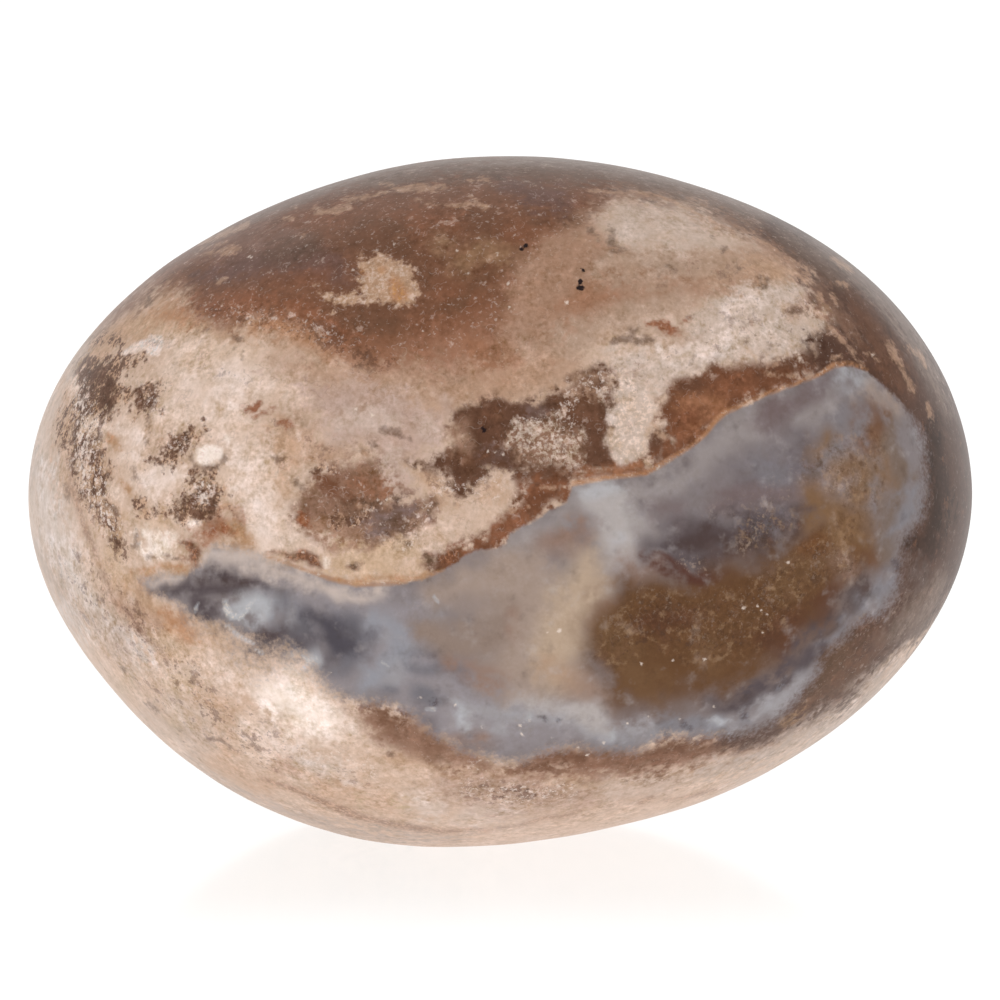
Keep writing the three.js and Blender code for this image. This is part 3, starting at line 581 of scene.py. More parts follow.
PALE_GRAINS = (
    (.16, .8, 1, BROWN_CAP),
    (.24, .8, 1, ((-13.8, 8.4, .3), (-11.6, 8, .5), (-9.6, 7.7, .6), (-7.8, 7.3, .5), (-6.4, 6.4, .4))),
    (.42, .8, 1, ((-18, 4.8, .5), (-17.6, 3.4, .6), (-17.6, 1.6, .7), (-17.2, .2, .6), (-16.5, -1.2, .4)),
     (-14.8, 4.3, .4), (-13.7, 2.4, .4), (-12.6, .3, .6)),
    (.16, .6, 1, COCOA_FIELD, (-8.4, 2.6, .4)),
    (.3, .4, 1, ((1.2, 3, .7), (2.4, 2.4, .8), (3.2, 4.9, .3), (4.2, 5, .5)), ((-.2, .5, .5), (-2.4, .7, .3),
     (-4, -2, .3))),
    (.34, .9, 1, ((-1.4, -12.3, .4), (0, -12.5, .6), (1.6, -12.5, .5), (3, -12.3, .4)), ((-9.6, -10.6, .3),
     (-7, -10.8, .3), (-5.6, -11.4, .4))),
    (.25, .9, 1, ((-17, -5.4, .6), (-15.4, -7, .6), (-13, -8, .8)), (-1, -11.3, .5)),
    (.2, .8, 1, ((5.2, 5.4, .5), (7.2, 6.2, .4), (9.4, 6.6, .5)), ((12.6, 8.2, .5), (13.8, 8, .4),
     (13.6, 6.7, .3))),
    (.05, .5, 1, ((11.6, 5.1, .3), (9.8, 4.8, .4), (8.2, 3.4, .5), (4, 1.2, .3)), ((16, 7, 1), (18.4, 2, 1),
     (18, -2, .8))),
    (0, .2, 1, CHALCEDONY),
    (.2, 1, 1, ((9, -.6, .6), (10.6, -.2, .8), (12.4, .6, .8), (13.2, 2, .6)), ((13.8, 1.6, .6),
     (15.4, 2.2, .5))),
    (.24, 1, 1, ((5, -5.4, .8), (6.6, -4.4, 1), (8.6, -5.2, 1.2), (10.8, -4.6, 1.3), (12.6, -3.2, 1),
     (13.9, -2, .8), (14.8, -2.8, .7))),
    (.36, .7, 1, ((10.4, -2, .4), (11, -1.2, .5), (11.4, -.4, .3)), ((14.6, 1.2, .4), (15.4, .9, .5),
     (14, .6, .4)), (14.6, -2.6, .4), ((7.8, -2.6, .4), (8.6, -2.9, .4))),
    (.2, .5, 1, ((.4, -9.2, .5), (1.2, -9.7, .4)), ((-4, -4.4, .4), (-2.8, -4.2, .3))),
    # painted highlight in the first shape, nearly free of pale grains; the rose field is the stone's own
    (.02, .8, 1, ((-9.8, -8.1, .5), (-8.4, -8.9, .9), (-7.2, -9.6, .5)), ROSE_FIELD),
)
# Marks with a clear edge: name, (colour, colour and share of the flecks within), (softness, sway and fray in
# mm), strength and shapes. Later ones lie on top.
MARKS = (
    ("seam", ("sand", "oat", .25), (.2, .02, .02), .85, ((3.1, .7, .08), (4.6, .95, .07), (6.2, 1.13, .08),
     (6.7, 1.42, .1), (8, 2.2, .07), (8.7, 2.75, .07), (9.1, 3.3, .1), (9.6, 3.75, .1), (10.4, 4.05, .07)),
     ((10.4, 4.1, .05), (11.3, 4.5, .07), (12.6, 4.95, .07), (13.5, 5.3, .06), (14.2, 5.75, .12),
     (14.9, 5.8, .08), (15.6, 5.55, .05)), ((-10, -2.35, .03), (-8.2, -3, .05), (-7.2, -3.35, .1),
     (-6, -3.6, .1), (-4.4, -3.55, .06), (-3, -3.2, .08), (-2.4, -2.95, .05))),
    ("ochre_veins", ("honey_tan", "sand", .4), (.35, .15, .2), .95, ((-15.7, -2.98, .06), (-15, -3.08, .14),
     (-14.4, -2.8, .1), (-13.8, -2.9, .12), (-13.3, -2.95, .12)), ((-16.65, 2.75, .08), (-16.4, 2.45, .17),
     (-16.2, 2.2, .14)), ((-16.05, .7, .12), (-15.75, .4, .22), (-15.5, .1, .1)), ((-7, -3.38, .04),
     (-6.1, -3.5, .08), (-5, -3.3, .12), (-4.5, -3.25, .2), (-4.1, -3.35, .1), (-3.2, -3.15, .06)),
     ((-11.3, -1.1, .1), (-10.9, -1.3, .16), (-10.6, -1.8, .14))),
    ("umber_mottle", ("bark", "tan", .5), (.42, .2, .6), .92, ((-17.8, 5.1), (-17.6, 5.9), (-17, 6.1),
     (-16.2, 6.2), (-15.5, 6.25), (-15.3, 6.1), (-15.8, 5.7), (-16, 5.2), (-16, 4.6), (-16.1, 4.1),
     (-16.8, 3.9), (-16.6, 3.5), (-17.3, 3.6), (-18, 3.5), (-18.5, 3.6), (-18.4, 4.1), (-17.9, 4.6)),
     ((-17.2, 6.7, .12), (-16.6, 6.85, .15), (-16.2, 6.65, .1)), ((-15.1, 6.4), (-15.5, 6.2), (-16, 5.6),
     (-15.6, 5.3), (-15.3, 5.9)), ((-15.9, 4.5, .2), (-15.1, 4.4, .45), (-14.7, 4.8, .2), (-14.2, 5, .1)),
     ((-15.6, 3.7, .15), (-15.1, 3.85, .22), (-14.6, 4.1, .15)), ((-18.6, 3.1, .15), (-18.5, 2.6, .25),
     (-18.4, 2.2, .15)), ((-17.9, 2.7, .2), (-17.6, 2.6, .25), (-17.8, 2.15, .15)), ((-17.8, 1.3, .15),
     (-17.4, 1.9, .35), (-17, 1.5, .4), (-17, 1, .35), (-17.3, .6, .25), (-17.2, .1, .2), (-17.4, -.3, .15)),
     ((-14.8, 1.8, .15), (-14.4, 1.6, .25), (-14, 1.8, .3), (-14, 2.3, .25), (-13.6, 2.6, .3),
     (-13.1, 2.8, .25), (-12.7, 3, .12)), ((-12.9, 1.3), (-12.1, 1.3), (-12.1, .9), (-11.8, .5), (-11.7, .1),
     (-12, -.3), (-12.3, -.7), (-12.8, -.85), (-13.4, -.9), (-14, -.75), (-13.9, -.3), (-13.7, .1),
     (-13.3, .3), (-13.3, .8)), ((-11.9, -.3, .15), (-11.5, -.2, .12), (-11.3, -.5, .08)), ((-15.5, -.1, .15),
     (-15.2, -.4, .22), (-14.7, -.5, .25), (-14.2, -.5, .2), (-13.8, -.6, .2)), ((-16.6, -.9, .12),
     (-16.4, -1.4, .15), (-16.2, -1.9, .08)), ((-7.8, 1.4, .15), (-7.2, 1.3, .1)), ((-6.9, -.8, .15),
     (-6.2, -.9, .2), (-5.6, -.7, .12))),
    ("grey_flecks", ("umber", "taupe", .5), (.25, .12, .2), .65, ((-15, 3.4, .1), (-14.95, 2.9, .12),
     (-15, 2.3, .06)), ((-13.1, 2.2, .08), (-13.1, 1.8, .08), (-12.9, 1.45, .1)), ((-11.72, 1.75, .1),
     (-12, 1.42, .12), (-12.6, 1.38, .1)), ((-18.4, .6, .12), (-18.4, .2, .12), (-18.2, 0, .08)),
     ((-16.75, -.15, .1), (-16.5, -.4, .14), (-16.3, -.6, .08)), ((-11.35, 6.9, .1), (-11.05, 6.8, .14)),
     ((-15.5, -1.95, .12), (-15.4, -1.4, .1)), ((-14.95, -2.45, .12), (-14.4, -2.35, .08), (-13.7, -2.5, .05),
     (-13.3, -2.55, .05)), ((-15.6, 1.3, .05), (-15.5, .9, .1)), ((-14.95, 8.6, .1), (-14.9, 8.3, .12)),
     (-12.9, 7.3, .08), (-12.4, 7.2, .1), ((-11.6, 6.1, .1), (-11.3, 6.4, .06)), ((-11, 6, .1),
     (-10.9, 6.3, .06)), ((-5, 3, .06), (-4.5, 2.85, .1), (-4.2, 2.65, .07), (-3.8, 2.55, .03)),
     ((-5.9, 2.7, .08), (-5.3, 2.3, .08)), ((-5.9, 2.1, .05), (-5.2, 1.75, .05)), ((-9.85, 1.9, .03),
     (-9.4, 1.75, .07), (-9, 1.82, .04)), ((4.8, 6.75, .08), (5.3, 6.85, .14), (5.9, 6.75, .12),
     (6.5, 6.85, .1)), ((5.6, 7.2, .1), (5.9, 7.3, .08)), ((10.25, 7.3, .1), (10.4, 7.35, .08)),
     (10.4, 6.7, .08), ((11.5, 6.5, .08), (11.8, 6.55, .08)), ((12, 8.1, .06), (12.5, 8.05, .16),
     (13, 7.9, .12)), ((13.3, 8.7, .1), (13.35, 8.4, .1)), ((7.1, 10, .08), (7.5, 9.8, .12)),
     ((6.7, 9.05, .08), (7.05, 9.05, .07)), (6.75, 9.5, .06), ((4.7, 11.7, .08), (4.68, 11.1, .14),
     (4.8, 10.75, .12), (5.4, 10.55, .05)), ((3.85, 11.45, .12), (4.15, 11.2, .1)), ((11, 9.45, .05),
     (11.3, 9.4, .07), (11.4, 9.2, .07), (11.1, 9.05, .06)), (10.15, 9.85, .1), (9.1, 11.25, .07),
     (9.5, 10.6, .07), ((8.3, 6.1, .08), (8.1, 5.8, .08)), ((8, 7.75, .08), (8.2, 7.8, .06)),
     (10.3, 8.65, .07), ((-15, -8.6, .06), (-14.6, -8.9, .08)), (-13.6, -9.85, .08), ((-12.2, -10.15, .06),
     (-11.8, -10.2, .06)), (-11.5, -10.5, .1), (-14.45, -7.05, .08), ((-16.1, -7.1, .05),
     (-15.95, -7.35, .06)), ((-8.7, .8, .06), (-8.4, .5, .1)), (-4.7, -10.8, .1), (-3, -3.4, .04),
     (5.35, -11.9, .1), (-8.9, -10.8, .06)),
    ("rust_spots", ("rust", "copper", .5), (.3, .12, .25), .9, ((-12.6, -1.4, .1), (-12.2, -1.35, .18),
     (-11.6, -1.2, .16), (-11.4, -1.35, .08)), ((-10.75, 3.9, .05), (-10.4, 3.85, .16), (-10.2, 4.1, .12)),
     ((-10.4, 3.5, .1), (-10.1, 3.65, .12), (-9.8, 3.85, .1), (-9.6, 3.9, .04)), ((-9.35, 3.25, .1),
     (-9.05, 3.2, .2)), ((-8.5, -.5, .1), (-8.4, -.85, .18), (-8.2, -1.1, .1)), ((6.3, 7.5, .08),
     (6.9, 7.4, .17), (7.5, 7.25, .12), (7.2, 7.15, .1)), ((7.6, 7.55, .05), (7.95, 7.55, .04))),
    ("red_iron", ("chestnut", "copper", .4), (.3, .08, .12), .95, ((-9.95, -2.2, .04), (-9.2, -2.25, .07),
     (-8.9, -2.45, .12), (-8.4, -2.35, .24), (-7.95, -2.55, .26), (-7.6, -2.85, .12)), ((-13.6, -1.85, .08),
     (-13.1, -1.9, .16), (-12.95, -2.2, .2), (-13, -2.6, .14), (-12.9, -2.85, .06)), ((-1.9, -2.3, .22),
     (-2.4, -2.5, .16))),
    ("umber_spots", ("umber", "cocoa", .5), (.25, .06, .15), .9, ((-6.45, -2.85, .06), (-6.15, -2.85, .16),
     (-5.85, -2.6, .05)), ((-3.1, -2.35, .14), (-2.95, -2.65, .2)), ((4.5, 3.3, .07), (4.8, 3.2, .12),
     (5.05, 3.1, .05)), ((.65, 2.9, .14), (.95, 2.85, .1)), ((2.6, 2.9, .12), (2.8, 3.1, .08)),
     ((-4, -1.5, .1), (-3.6, -1.1, .08), (-3.1, -.6, .08), (-2.9, -.2, .08), (-2.7, -.1, .06))),
    ("pale_flecks", ("fawn", "tan", .45), (.18, .06, .15), .65, ((-7.9, 12.12, .04), (-7.1, 12.3, .14),
     (-6.4, 12.5, .1)), ((-6.7, 12.75, .04), (-5.9, 12.85, .08), (-5.3, 12.95, .05), (-4.9, 13.05, .03)),
     ((-5.1, 13.42, .05), (-4.7, 13.42, .08), (-4.2, 13.2, .1), (-3.5, 13.25, .16), (-3, 13.25, .14),
     (-2.4, 13.35, .1), (-2.3, 13.2, .08)), ((-8, 12.43, .05), (-7.6, 12.43, .05)), ((-9.2, 12, .06),
     (-8.8, 11.97, .06)), (-8.65, 12.42, .05), ((-3.5, 12.8, .07), (-3.2, 12.65, .07), (-2.8, 12.65, .05)),
     ((-2.4, 12.6, .05), (-1.9, 12.55, .07), (-1.2, 12.55, .08), (-.9, 12.65, .08), (-.6, 12.4, .12)),
     (-1.25, 13.55, .1), ((-.9, 13.65, .05), (-.5, 13.62, .05)), ((-1.3, 12.95, .04), (-.9, 12.75, .05)),
     ((-12.9, 10.38, .05), (-12.1, 10.55, .05)), ((-12.7, 10.75, .04), (-11.6, 10.93, .05)),
     ((-11.9, 10.5, .08), (-11.4, 10.65, .16), (-11.1, 10.75, .08)), ((-12.8, 10.85, .06), (-11.6, 11.4, .12),
     (-10.7, 11.75, .08)), ((3.8, 13.2, .05), (4.7, 13.05, .05), (5.9, 13.1, .04), (6.9, 12.85, .05),
     (7.9, 12.42, .06), (8.9, 12, .03)), ((8.9, 11.9, .03), (9.2, 11.6, .06)), ((9.6, 11.6, .03),
     (10.2, 11.35, .05)), ((10.8, 11.1, .05), (11.3, 10.9, .09), (11.9, 10.5, .07), (12.5, 10.1, .08),
     (12.9, 9.8, .04)), ((12, 9.92, .04), (12.8, 9.45, .06), (13.1, 9.1, .05)), ((14, 7.35, .08),
     (14.6, 6.75, .07), (15.4, 5.75, .05)), ((13.4, 8, .1), (13.8, 7.7, .1)), ((13.5, 8.8, .12),
     (13.7, 8.5, .08)), ((14.1, 8.7, .1), (14.3, 8.4, .06)), ((14.4, 9.2, .12), (14.8, 9.1, .08)),
     ((15.5, 6.3, .03), (15.9, 6.15, .08), (16.1, 5.95, .04)), ((14.1, 6, .1), (14.4, 6.1, .08)),
     ((16.55, 6.65, .14), (16.75, 6.2, .14), (17.05, 5.7, .06), (17.2, 5.3, .1), (17.5, 4.8, .1),
     (17.6, 4.6, .05)), ((17.3, 6.5, .06), (17.8, 6.2, .14), (18.2, 5.6, .06)), ((18.1, 4.2, .08),
     (18.4, 3.4, .1)), ((14.1, 10.3, .08), (14.6, 10, .1), (15, 9.7, .05)), ((-6.2, 10.52, .05),
     (-5.85, 10.45, .05)), ((-8.7, 11, .03), (-8.3, 11.2, .04)), ((-12, 9.2, .05), (-11.7, 9.45, .07)),
     ((-2.7, 11.1, .04), (-2.35, 11.25, .06)), ((3.05, 11.2, .04), (3.6, 11, .06)), ((-.5, 10.25, .06),
     (-.05, 10.45, .1)), ((2.1, 4.75, .1), (2.7, 4.95, .1)), ((-1.3, 4.3, .06), (-.9, 4.3, .05)),
     ((-.85, .8, .08), (-.4, .85, .08)), ((-8.9, 1.75, .08), (-8.6, 1.6, .1)), ((11.4, 5.7, .08),
     (11.8, 5.8, .05)), ((11.3, 5.4, .06), (12, 5.3, .08), (12.6, 5.3, .05)), ((-5.8, 2, .06),
     (-5.4, 1.85, .08)), (-6.9, -.6, .08), ((-6.1, -.3, .1), (-5.7, -.2, .08)), ((1.7, .55, .06),
     (2.3, .5, .1)), ((.5, -.45, .04), (1.2, -.3, .05)), ((6.6, 2.9, .1), (7, 2.6, .1)), ((6.4, 3.3, .08),
     (6.6, 3.1, .06))),
    ("fish", ("tan", "oat", .45), (.35, .08, .4), .9, ((-7.75, 9.05), (-7.35, 8.85), (-6.9, 8.72),
     (-6.3, 8.82), (-5.9, 8.86), (-5.95, 9.1), (-6.05, 9.45), (-5.75, 9.6), (-5.85, 9.9), (-5.85, 10.25),
     (-5.5, 10.2), (-5.2, 10.45), (-4.95, 10.4), (-4.5, 10.2), (-4, 10), (-3.75, 9.8), (-3.62, 9.4),
     (-3.58, 8.9), (-3.65, 8.45), (-4.1, 8.3), (-4.7, 8.35), (-5.2, 8.5), (-6, 8.45), (-6.5, 8.28),
     (-7.2, 8.35), (-7.45, 8.55)), ((-7.1, 8.08, .05), (-6.8, 8.1, .06))),
    ("fish_heart", ("sand", "ochre", .5), (.4, .1, .1), .9, ((-4.5, 9.3, .25), (-4.3, 8.8, .4)),
     (-5, 9.8, .1), ((-5.7, 9.6, .06), (-5.9, 9.7, .05))),
    ("crystal_crust", ("cocoa", "pearl", .55), (.45, .2, .4), .8, ((.3, 2.9), (.6, 3.4), (1.5, 3.4),
     (2.1, 3.5), (2.7, 3.8), (2.8, 3.5), (2.4, 3.1), (2.9, 2.7), (3.4, 3), (3.5, 2.2), (3.6, 1.6), (3, 1.4),
     (2.4, 1.6), (1.7, 1.5), (1, 1.7), (.8, 2.2), (.3, 2.4)), ((2.1, 3.5, .12), (2.5, 3.75, .16)),
     ((3.2, 5, .06), (3.6, 5.2, .06), (4.3, 5.3, .08), (4.6, 4.8, .08), (4.2, 4.3, .08)), ((3.4, 4.9, .1),
     (3.9, 4.9, .1)), (1.4, 4, .12)),
    ("cream_drip", ("shell", "cream", .45), (.3, .08, .18), .95, ((4.5, 3.4), (4.95, 3), (4.45, 2.6),
     (4.75, 2.3), (4.75, 1.75), (5.1, 1.55), (5.6, 1.58), (5.9, 1.8), (6.2, 1.95), (6.1, 2.4), (6.15, 2.95),
     (6.3, 3.3), (6.5, 3.6), (6.7, 4), (6.5, 4.2), (6.2, 4.4), (6, 4.8), (5.2, 4.6), (5, 4.1), (4.6, 3.8)),
     ((5, 4.4, .2), (5.4, 5, .3))),
    ("milk_blots", ("milk", "petal", .35), (.3, .06, .12), 1, ((-12.95, 2.1), (-12.6, 2.35), (-12.1, 2.35),
     (-11.85, 2.1), (-11.9, 1.75), (-12.2, 1.52), (-12.8, 1.55), (-13, 1.75)), (-11.6, 2.65, .12),
     ((-13.1, -1, .1), (-12.8, -1, .1)), ((-7.35, -2.5, .1), (-7.4, -2.85, .06))),
    ("white_patch", ("petal", "frost", .4), (.2, .1, .1), 1, ((-16.2, 6.2), (-15.6, 6.6), (-15, 6.85),
     (-14.9, 7.05), (-14.4, 7), (-14.3, 6.6), (-14.5, 6.1), (-14.9, 6.15), (-15.05, 6.4), (-15.4, 6.3),
     (-15.9, 6.1))),
    ("belly_lines", ("cocoa", "fawn", .5), (.3, .05, .1), .7, ((-10.2, -11.85, .06), (-9, -12.2, .14),
     (-7.5, -12.85, .14), (-6.2, -13.4, .16), (-4.5, -13.82, .12), (-2.5, -14.07, .09), (-.5, -14, .07),
     (.8, -13.85, .05)), ((1, -13.78, .06), (2, -13.5, .05), (3, -13.4, .06), (3.6, -13.15, .04)),
     ((5.9, -12.9, .06), (6.5, -12.65, .07)), ((-18.35, 1.6, .06), (-18.1, .2, .1), (-17.6, -1.2, .12),
     (-17.1, -2.6, .12), (-16.5, -4, .08)), ((-16.9, -3.8, .05), (-16, -4.6, .06), (-15.4, -5.4, .07),
     (-14.8, -6.1, .08), (-14.1, -6.8, .05)), ((7, -12.8, .04), (8.2, -12.55, .06), (9.2, -12.3, .04))),
    ("steel_shadows", ("soot", "slate", .5), (.25, .1, .12), .8, ((11.8, -8, .12), (12.15, -7.7, .18)),
     ((1.7, -9.2, .07), (1.95, -9.32, .07)), (2.5, -9.35, .08), ((7.8, -9.55, .1), (8.05, -9.7, .1)),
     (7.05, -9.95, .07), (10.4, -9.2, .12), (-2.8, -8.6, .16), ((16.8, -2.6, .1), (16.9, -2.95, .1)),
     (-4.6, -8.2, .08)),
    ("blue_wisps", ("veil", "frost", .5), (.18, .1, .05), .8, ((-11.6, -5.35, .08), (-11.1, -5.8, .11),
     (-10.5, -6.1, .07)), ((-11.7, -4.3, .07), (-11.5, -4.9, .1), (-11.1, -5, .08), (-10.7, -4.6, .1),
     (-10.4, -4.2, .06)), ((-8.4, -7.2, .06), (-8, -6.8, .1), (-7.8, -6.7, .06)), ((-3.1, -8.9, .08),
     (-2.8, -8.9, .08)), ((-10.4, -6.35, .04), (-10.1, -6.5, .05)), ((-12.8, -4.3, .04), (-12.95, -4.7, .08)),
     ((-11.7, -4.6, .05), (-11.4, -5, .06)), ((-8.4, -6.6, .08), (-8.1, -6.9, .08)), ((-5, -6.9, .05),
     (-4.7, -7.1, .07)), ((-2.8, -4.1, .04), (-2.6, -4.4, .05))),
)
# Glints are painted highlights and pits are painted shade in the stone's tiny hollows: dots about .1 mm in
# radius, at (s, t)
GLINTS = (
    (-5.42, 3.6), (-5.05, -.15), (-5, -.3), (-5.2, -.02), (-4.8, 0), (-5.1, -1), (-8.35, -2.25),
    (3.35, -10.5), (3.7, -10.85), (.85, -9.6), (1.25, -9.4), (2.2, -10.1), (4.4, -10.3), (5.4, -9.5),
    (6.3, -9.2), (7.6, -9.3), (9.1, -8.8), (-1.9, -8.7), (-3.4, -8.4), (-.8, -9.65), (6, -6.98), (7.35, -6.8),
    (8.7, -6.78), (10.95, -4.5), (11.1, -4.7), (10.35, -4.62), (11.35, -4.85), (11.15, -5.65), (12.25, -2.65),
    (2, -5.65), (2.5, -5.55), (.25, 11.5), (-.1, 10.45), (-4.5, 10.85), (-1.85, 10.6), (.35, 9.2), (.4, 8.2),
    (2.85, 8.4), (-3.3, 7.2), (.75, 6.4), (-10.6, 10.3), (-6.25, 9.8), (-.2, 2.02), (.15, 1.95), (-.5, 2.05),
    (.75, 3.35), (.35, 2.45), (-7.2, -7.35), (.95, -9.98), (-1.35, 9.65), (15.85, 6.15), (-6.1, 3.9),
)
PITS = (
    (1.1, 10.78), (.92, 10.66), (3.38, 9.02), (3.5, 9.04), (3.4, 9.28), (3.5, 9.78), (-.7, 3),
)


# ---------------------------------------------------------------- numpy helpers
def smooth_step(x, low, high):
    """0 below `low`, 1 above `high`, and 3u^2 - 2u^3 between them."""
    u = np.clip((x - low) / (high - low), 0.0, 1.0)
    return u * u * (3.0 - 2.0 * u)


def drift(points, size, seed):
    """A smooth random field from -1 to 1: random values on a cubic lattice `size` apart, blended between
    the eight nearest by u^3 (6u^2 - 15u + 10) along each axis."""
    span = 32
    table = np.random.default_rng(seed).uniform(-1.0, 1.0, (span, span, span))
    place = points / size
    cell = np.floor(place).astype(int)
    u = place - cell
    u = u * u * u * (u * (6.0 * u - 15.0) + 10.0)
    total = np.zeros(len(points))
    for corner in np.ndindex(2, 2, 2):
        weight = np.prod(np.where(np.array(corner) == 1, u, 1.0 - u), axis=1)
        at = (cell + corner) % span
        total += weight * table[at[:, 0], at[:, 1], at[:, 2]]
    return total


def reach_along(direction):
    """Radius of the stone (mm): the 7-norm of a rolled ellipsoid and the worn flats,
    (|d / axes|^7 + sum of (max(0, d.n) / reach)^7) ^ (-1/7)."""
    sizes = bpy.context.scene.agate_sizes
    axes = np.array([sizes.half_length, sizes.half_depth, sizes.half_height]) / MM
    x, y, z = direction.T
    rolled = np.column_stack(
        [x * math.cos(ROLL) + z * math.sin(ROLL), y, -x * math.sin(ROLL) + z * math.cos(ROLL)]
    )
    total = np.linalg.norm(rolled / axes, axis=1) ** CRISPNESS
    for bearing, lean, reach in FLATS.values():
        b, tilt = math.radians(bearing), math.radians(lean)
        normal = np.array([math.cos(b) * math.cos(tilt), -math.sin(tilt), math.sin(b) * math.cos(tilt)])
        total += (np.maximum(direction @ normal, 0.0) / reach) ** CRISPNESS
    return total ** (-1.0 / CRISPNESS)


def stone_surface(steps):
    """Points (mm) and faces of the whole stone: six equal-angle patches of a cube blown up to a sphere,
    point = direction(u, v) * reach, with direction = normal + tan(u) * side + tan(v) * up. The sphere's
    directions lean to the front, so that its cells are finest there. Shared edges are welded."""
    angle = np.linspace(-math.pi / 4, math.pi / 4, steps + 1)
    u, v = np.meshgrid(np.tan(angle), np.tan(angle), indexing="ij")
    index = np.arange((steps + 1) ** 2).reshape(steps + 1, steps + 1)
    quads = np.stack([index[:-1, :-1], index[1:, :-1], index[1:, 1:], index[:-1, 1:]], -1).reshape(-1, 4)
    directions, faces = [], []
    for axis in range(3):
        for sign in (1.0, -1.0):
            normal, side = np.eye(3)[axis] * sign, np.eye(3)[(axis + 1) % 3] * sign
            up = np.eye(3)[(axis + 2) % 3]
            patch = normal + u[..., None] * side + v[..., None] * up
            faces.append(quads + len(directions) * index.size)
            directions.append(patch.reshape(-1, 3))
    directions = np.vstack(directions)
    directions /= np.linalg.norm(directions, axis=1)[:, None]
    directions[:, 1] -= FRONT_LEAN
    directions /= np.linalg.norm(directions, axis=1)[:, None]
    _, first, welded = np.unique(np.round(directions, 7), axis=0, return_index=True, return_inverse=True)
    directions = directions[first]
    faces = welded.reshape(-1)[np.vstack(faces)]
    points = directions * reach_along(directions)[:, None]
    points += directions * (.03 * drift(points, 4.5, 11) + .012 * drift(points, 1.6, 12))[:, None]
    return points, faces


def chart_of(points):
    """Face-chart place (s, t) of points (mm): the perspective view from the eye point, on the plane through
    the chart's middle. Behind the middle the points first drift, up to 7 mm, by a smooth random field."""
    behind = smooth_step(points[:, 1], .5, 12.0)[:, None]
    wander = np.column_stack([drift(points, 7.0, seed) for seed in (21, 22, 23)])
    moved = points + behind * wander * (7.0, 0.0, 7.0)
    cos_e, sin_e = math.cos(EYE_ELEVATION), math.sin(EYE_ELEVATION)
    forward, up = np.array([0.0, cos_e, -sin_e]), np.array([0.0, sin_e, cos_e])
    ray = moved - np.array(CHART_MIDDLE) + forward * EYE_DISTANCE
    scale = EYE_DISTANCE / (ray @ forward)
    return np.column_stack([ray[:, 0] * scale, (ray @ up) * scale])


def depth_inside(chart, shape):
    """How far chart points lie inside a shape (mm, negative outside, and never below -REACH). For a stroke:
    the largest, over its links, of the link's radius less the distance to the link. For a patch: the
    distance to its nearest side, signed by crossings."""
    shape = np.atleast_2d(np.asarray(shape, float))
    margin = REACH + (shape[:, 2].max() if shape.shape[1] == 3 else 0.0)
    near = np.all((chart > shape[:, :2].min(0) - margin) & (chart < shape[:, :2].max(0) + margin), axis=1)
    depth, chart = np.full(len(chart), -REACH), chart[near]
    if shape.shape[1] == 3:
        best = np.full(len(chart), -REACH)
        links = zip(shape[:-1], shape[1:]) if len(shape) > 1 else [(shape[0], shape[0])]
        for start, end in links:
            along = end[:2] - start[:2]
            share = np.clip((chart - start[:2]) @ along / max(along @ along, 1e-9), 0.0, 1.0)
            away = np.linalg.norm(chart - start[:2] - share[:, None] * along, axis=1)
            best = np.maximum(best, start[2] + share * (end[2] - start[2]) - away)
        depth[near] = best
        return depth
    nearest, inside = np.full(len(chart), 99.0), np.zeros(len(chart), bool)
    for start, end in zip(shape, np.roll(shape, -1, axis=0)):
        along = end - start
        share = np.clip((chart - start) @ along / max(along @ along, 1e-9), 0.0, 1.0)
        nearest = np.minimum(nearest, np.linalg.norm(chart - start - share[:, None] * along, axis=1))
        crosses = (start[1] > chart[:, 1]) != (end[1] > chart[:, 1])
        at = start[0] + (chart[:, 1] - start[1]) * along[0] / (along[1] if along[1] else 1e-9)
        inside ^= crosses & (chart[:, 0] < at)
    depth[near] = np.where(inside, nearest, -np.minimum(nearest, REACH))
    return depth


def depth_in_any(chart, shapes):
    """The greatest depth inside any of the shapes."""
    best = depth_inside(chart, shapes[0])
    for shape in shapes[1:]:
        best = np.maximum(best, depth_inside(chart, shape))
    return best


def laid_over(chart, base, fields, growth=0.0):
    """Values of soft fields laid over each other: each covers by its strength times a smooth step, as wide as
    its softness, of its growth plus the depth inside it."""
    ground = np.tile(np.atleast_1d(np.asarray(base, float)), (len(chart), 1))
    for value, softness, strength, *shapes in fields:
        depth = depth_in_any(chart, shapes) + growth
        cover = strength * smooth_step(depth, -softness / 2, softness / 2)[:, None]
        ground = ground * (1.0 - cover) + np.asarray(value) * cover
    return ground


def ground_colours(chart, points, base, fields, sway, growth, seed):
    """One version of a ground: its fields, grown a little, on a chart that wobbles by `sway` mm."""
    colours = bpy.context.scene.agate_colours
    fields = [(np.array(getattr(colours, name)), *rest) for name, *rest in fields]
    wobble = np.column_stack(
        [drift(points, 5.0 * sway, seed + n) + .6 * drift(points, 1.6 * sway, seed + n + 9) for n in (0, 1)]
    )
    return laid_over(chart + sway * wobble, getattr(colours, base), fields, growth)


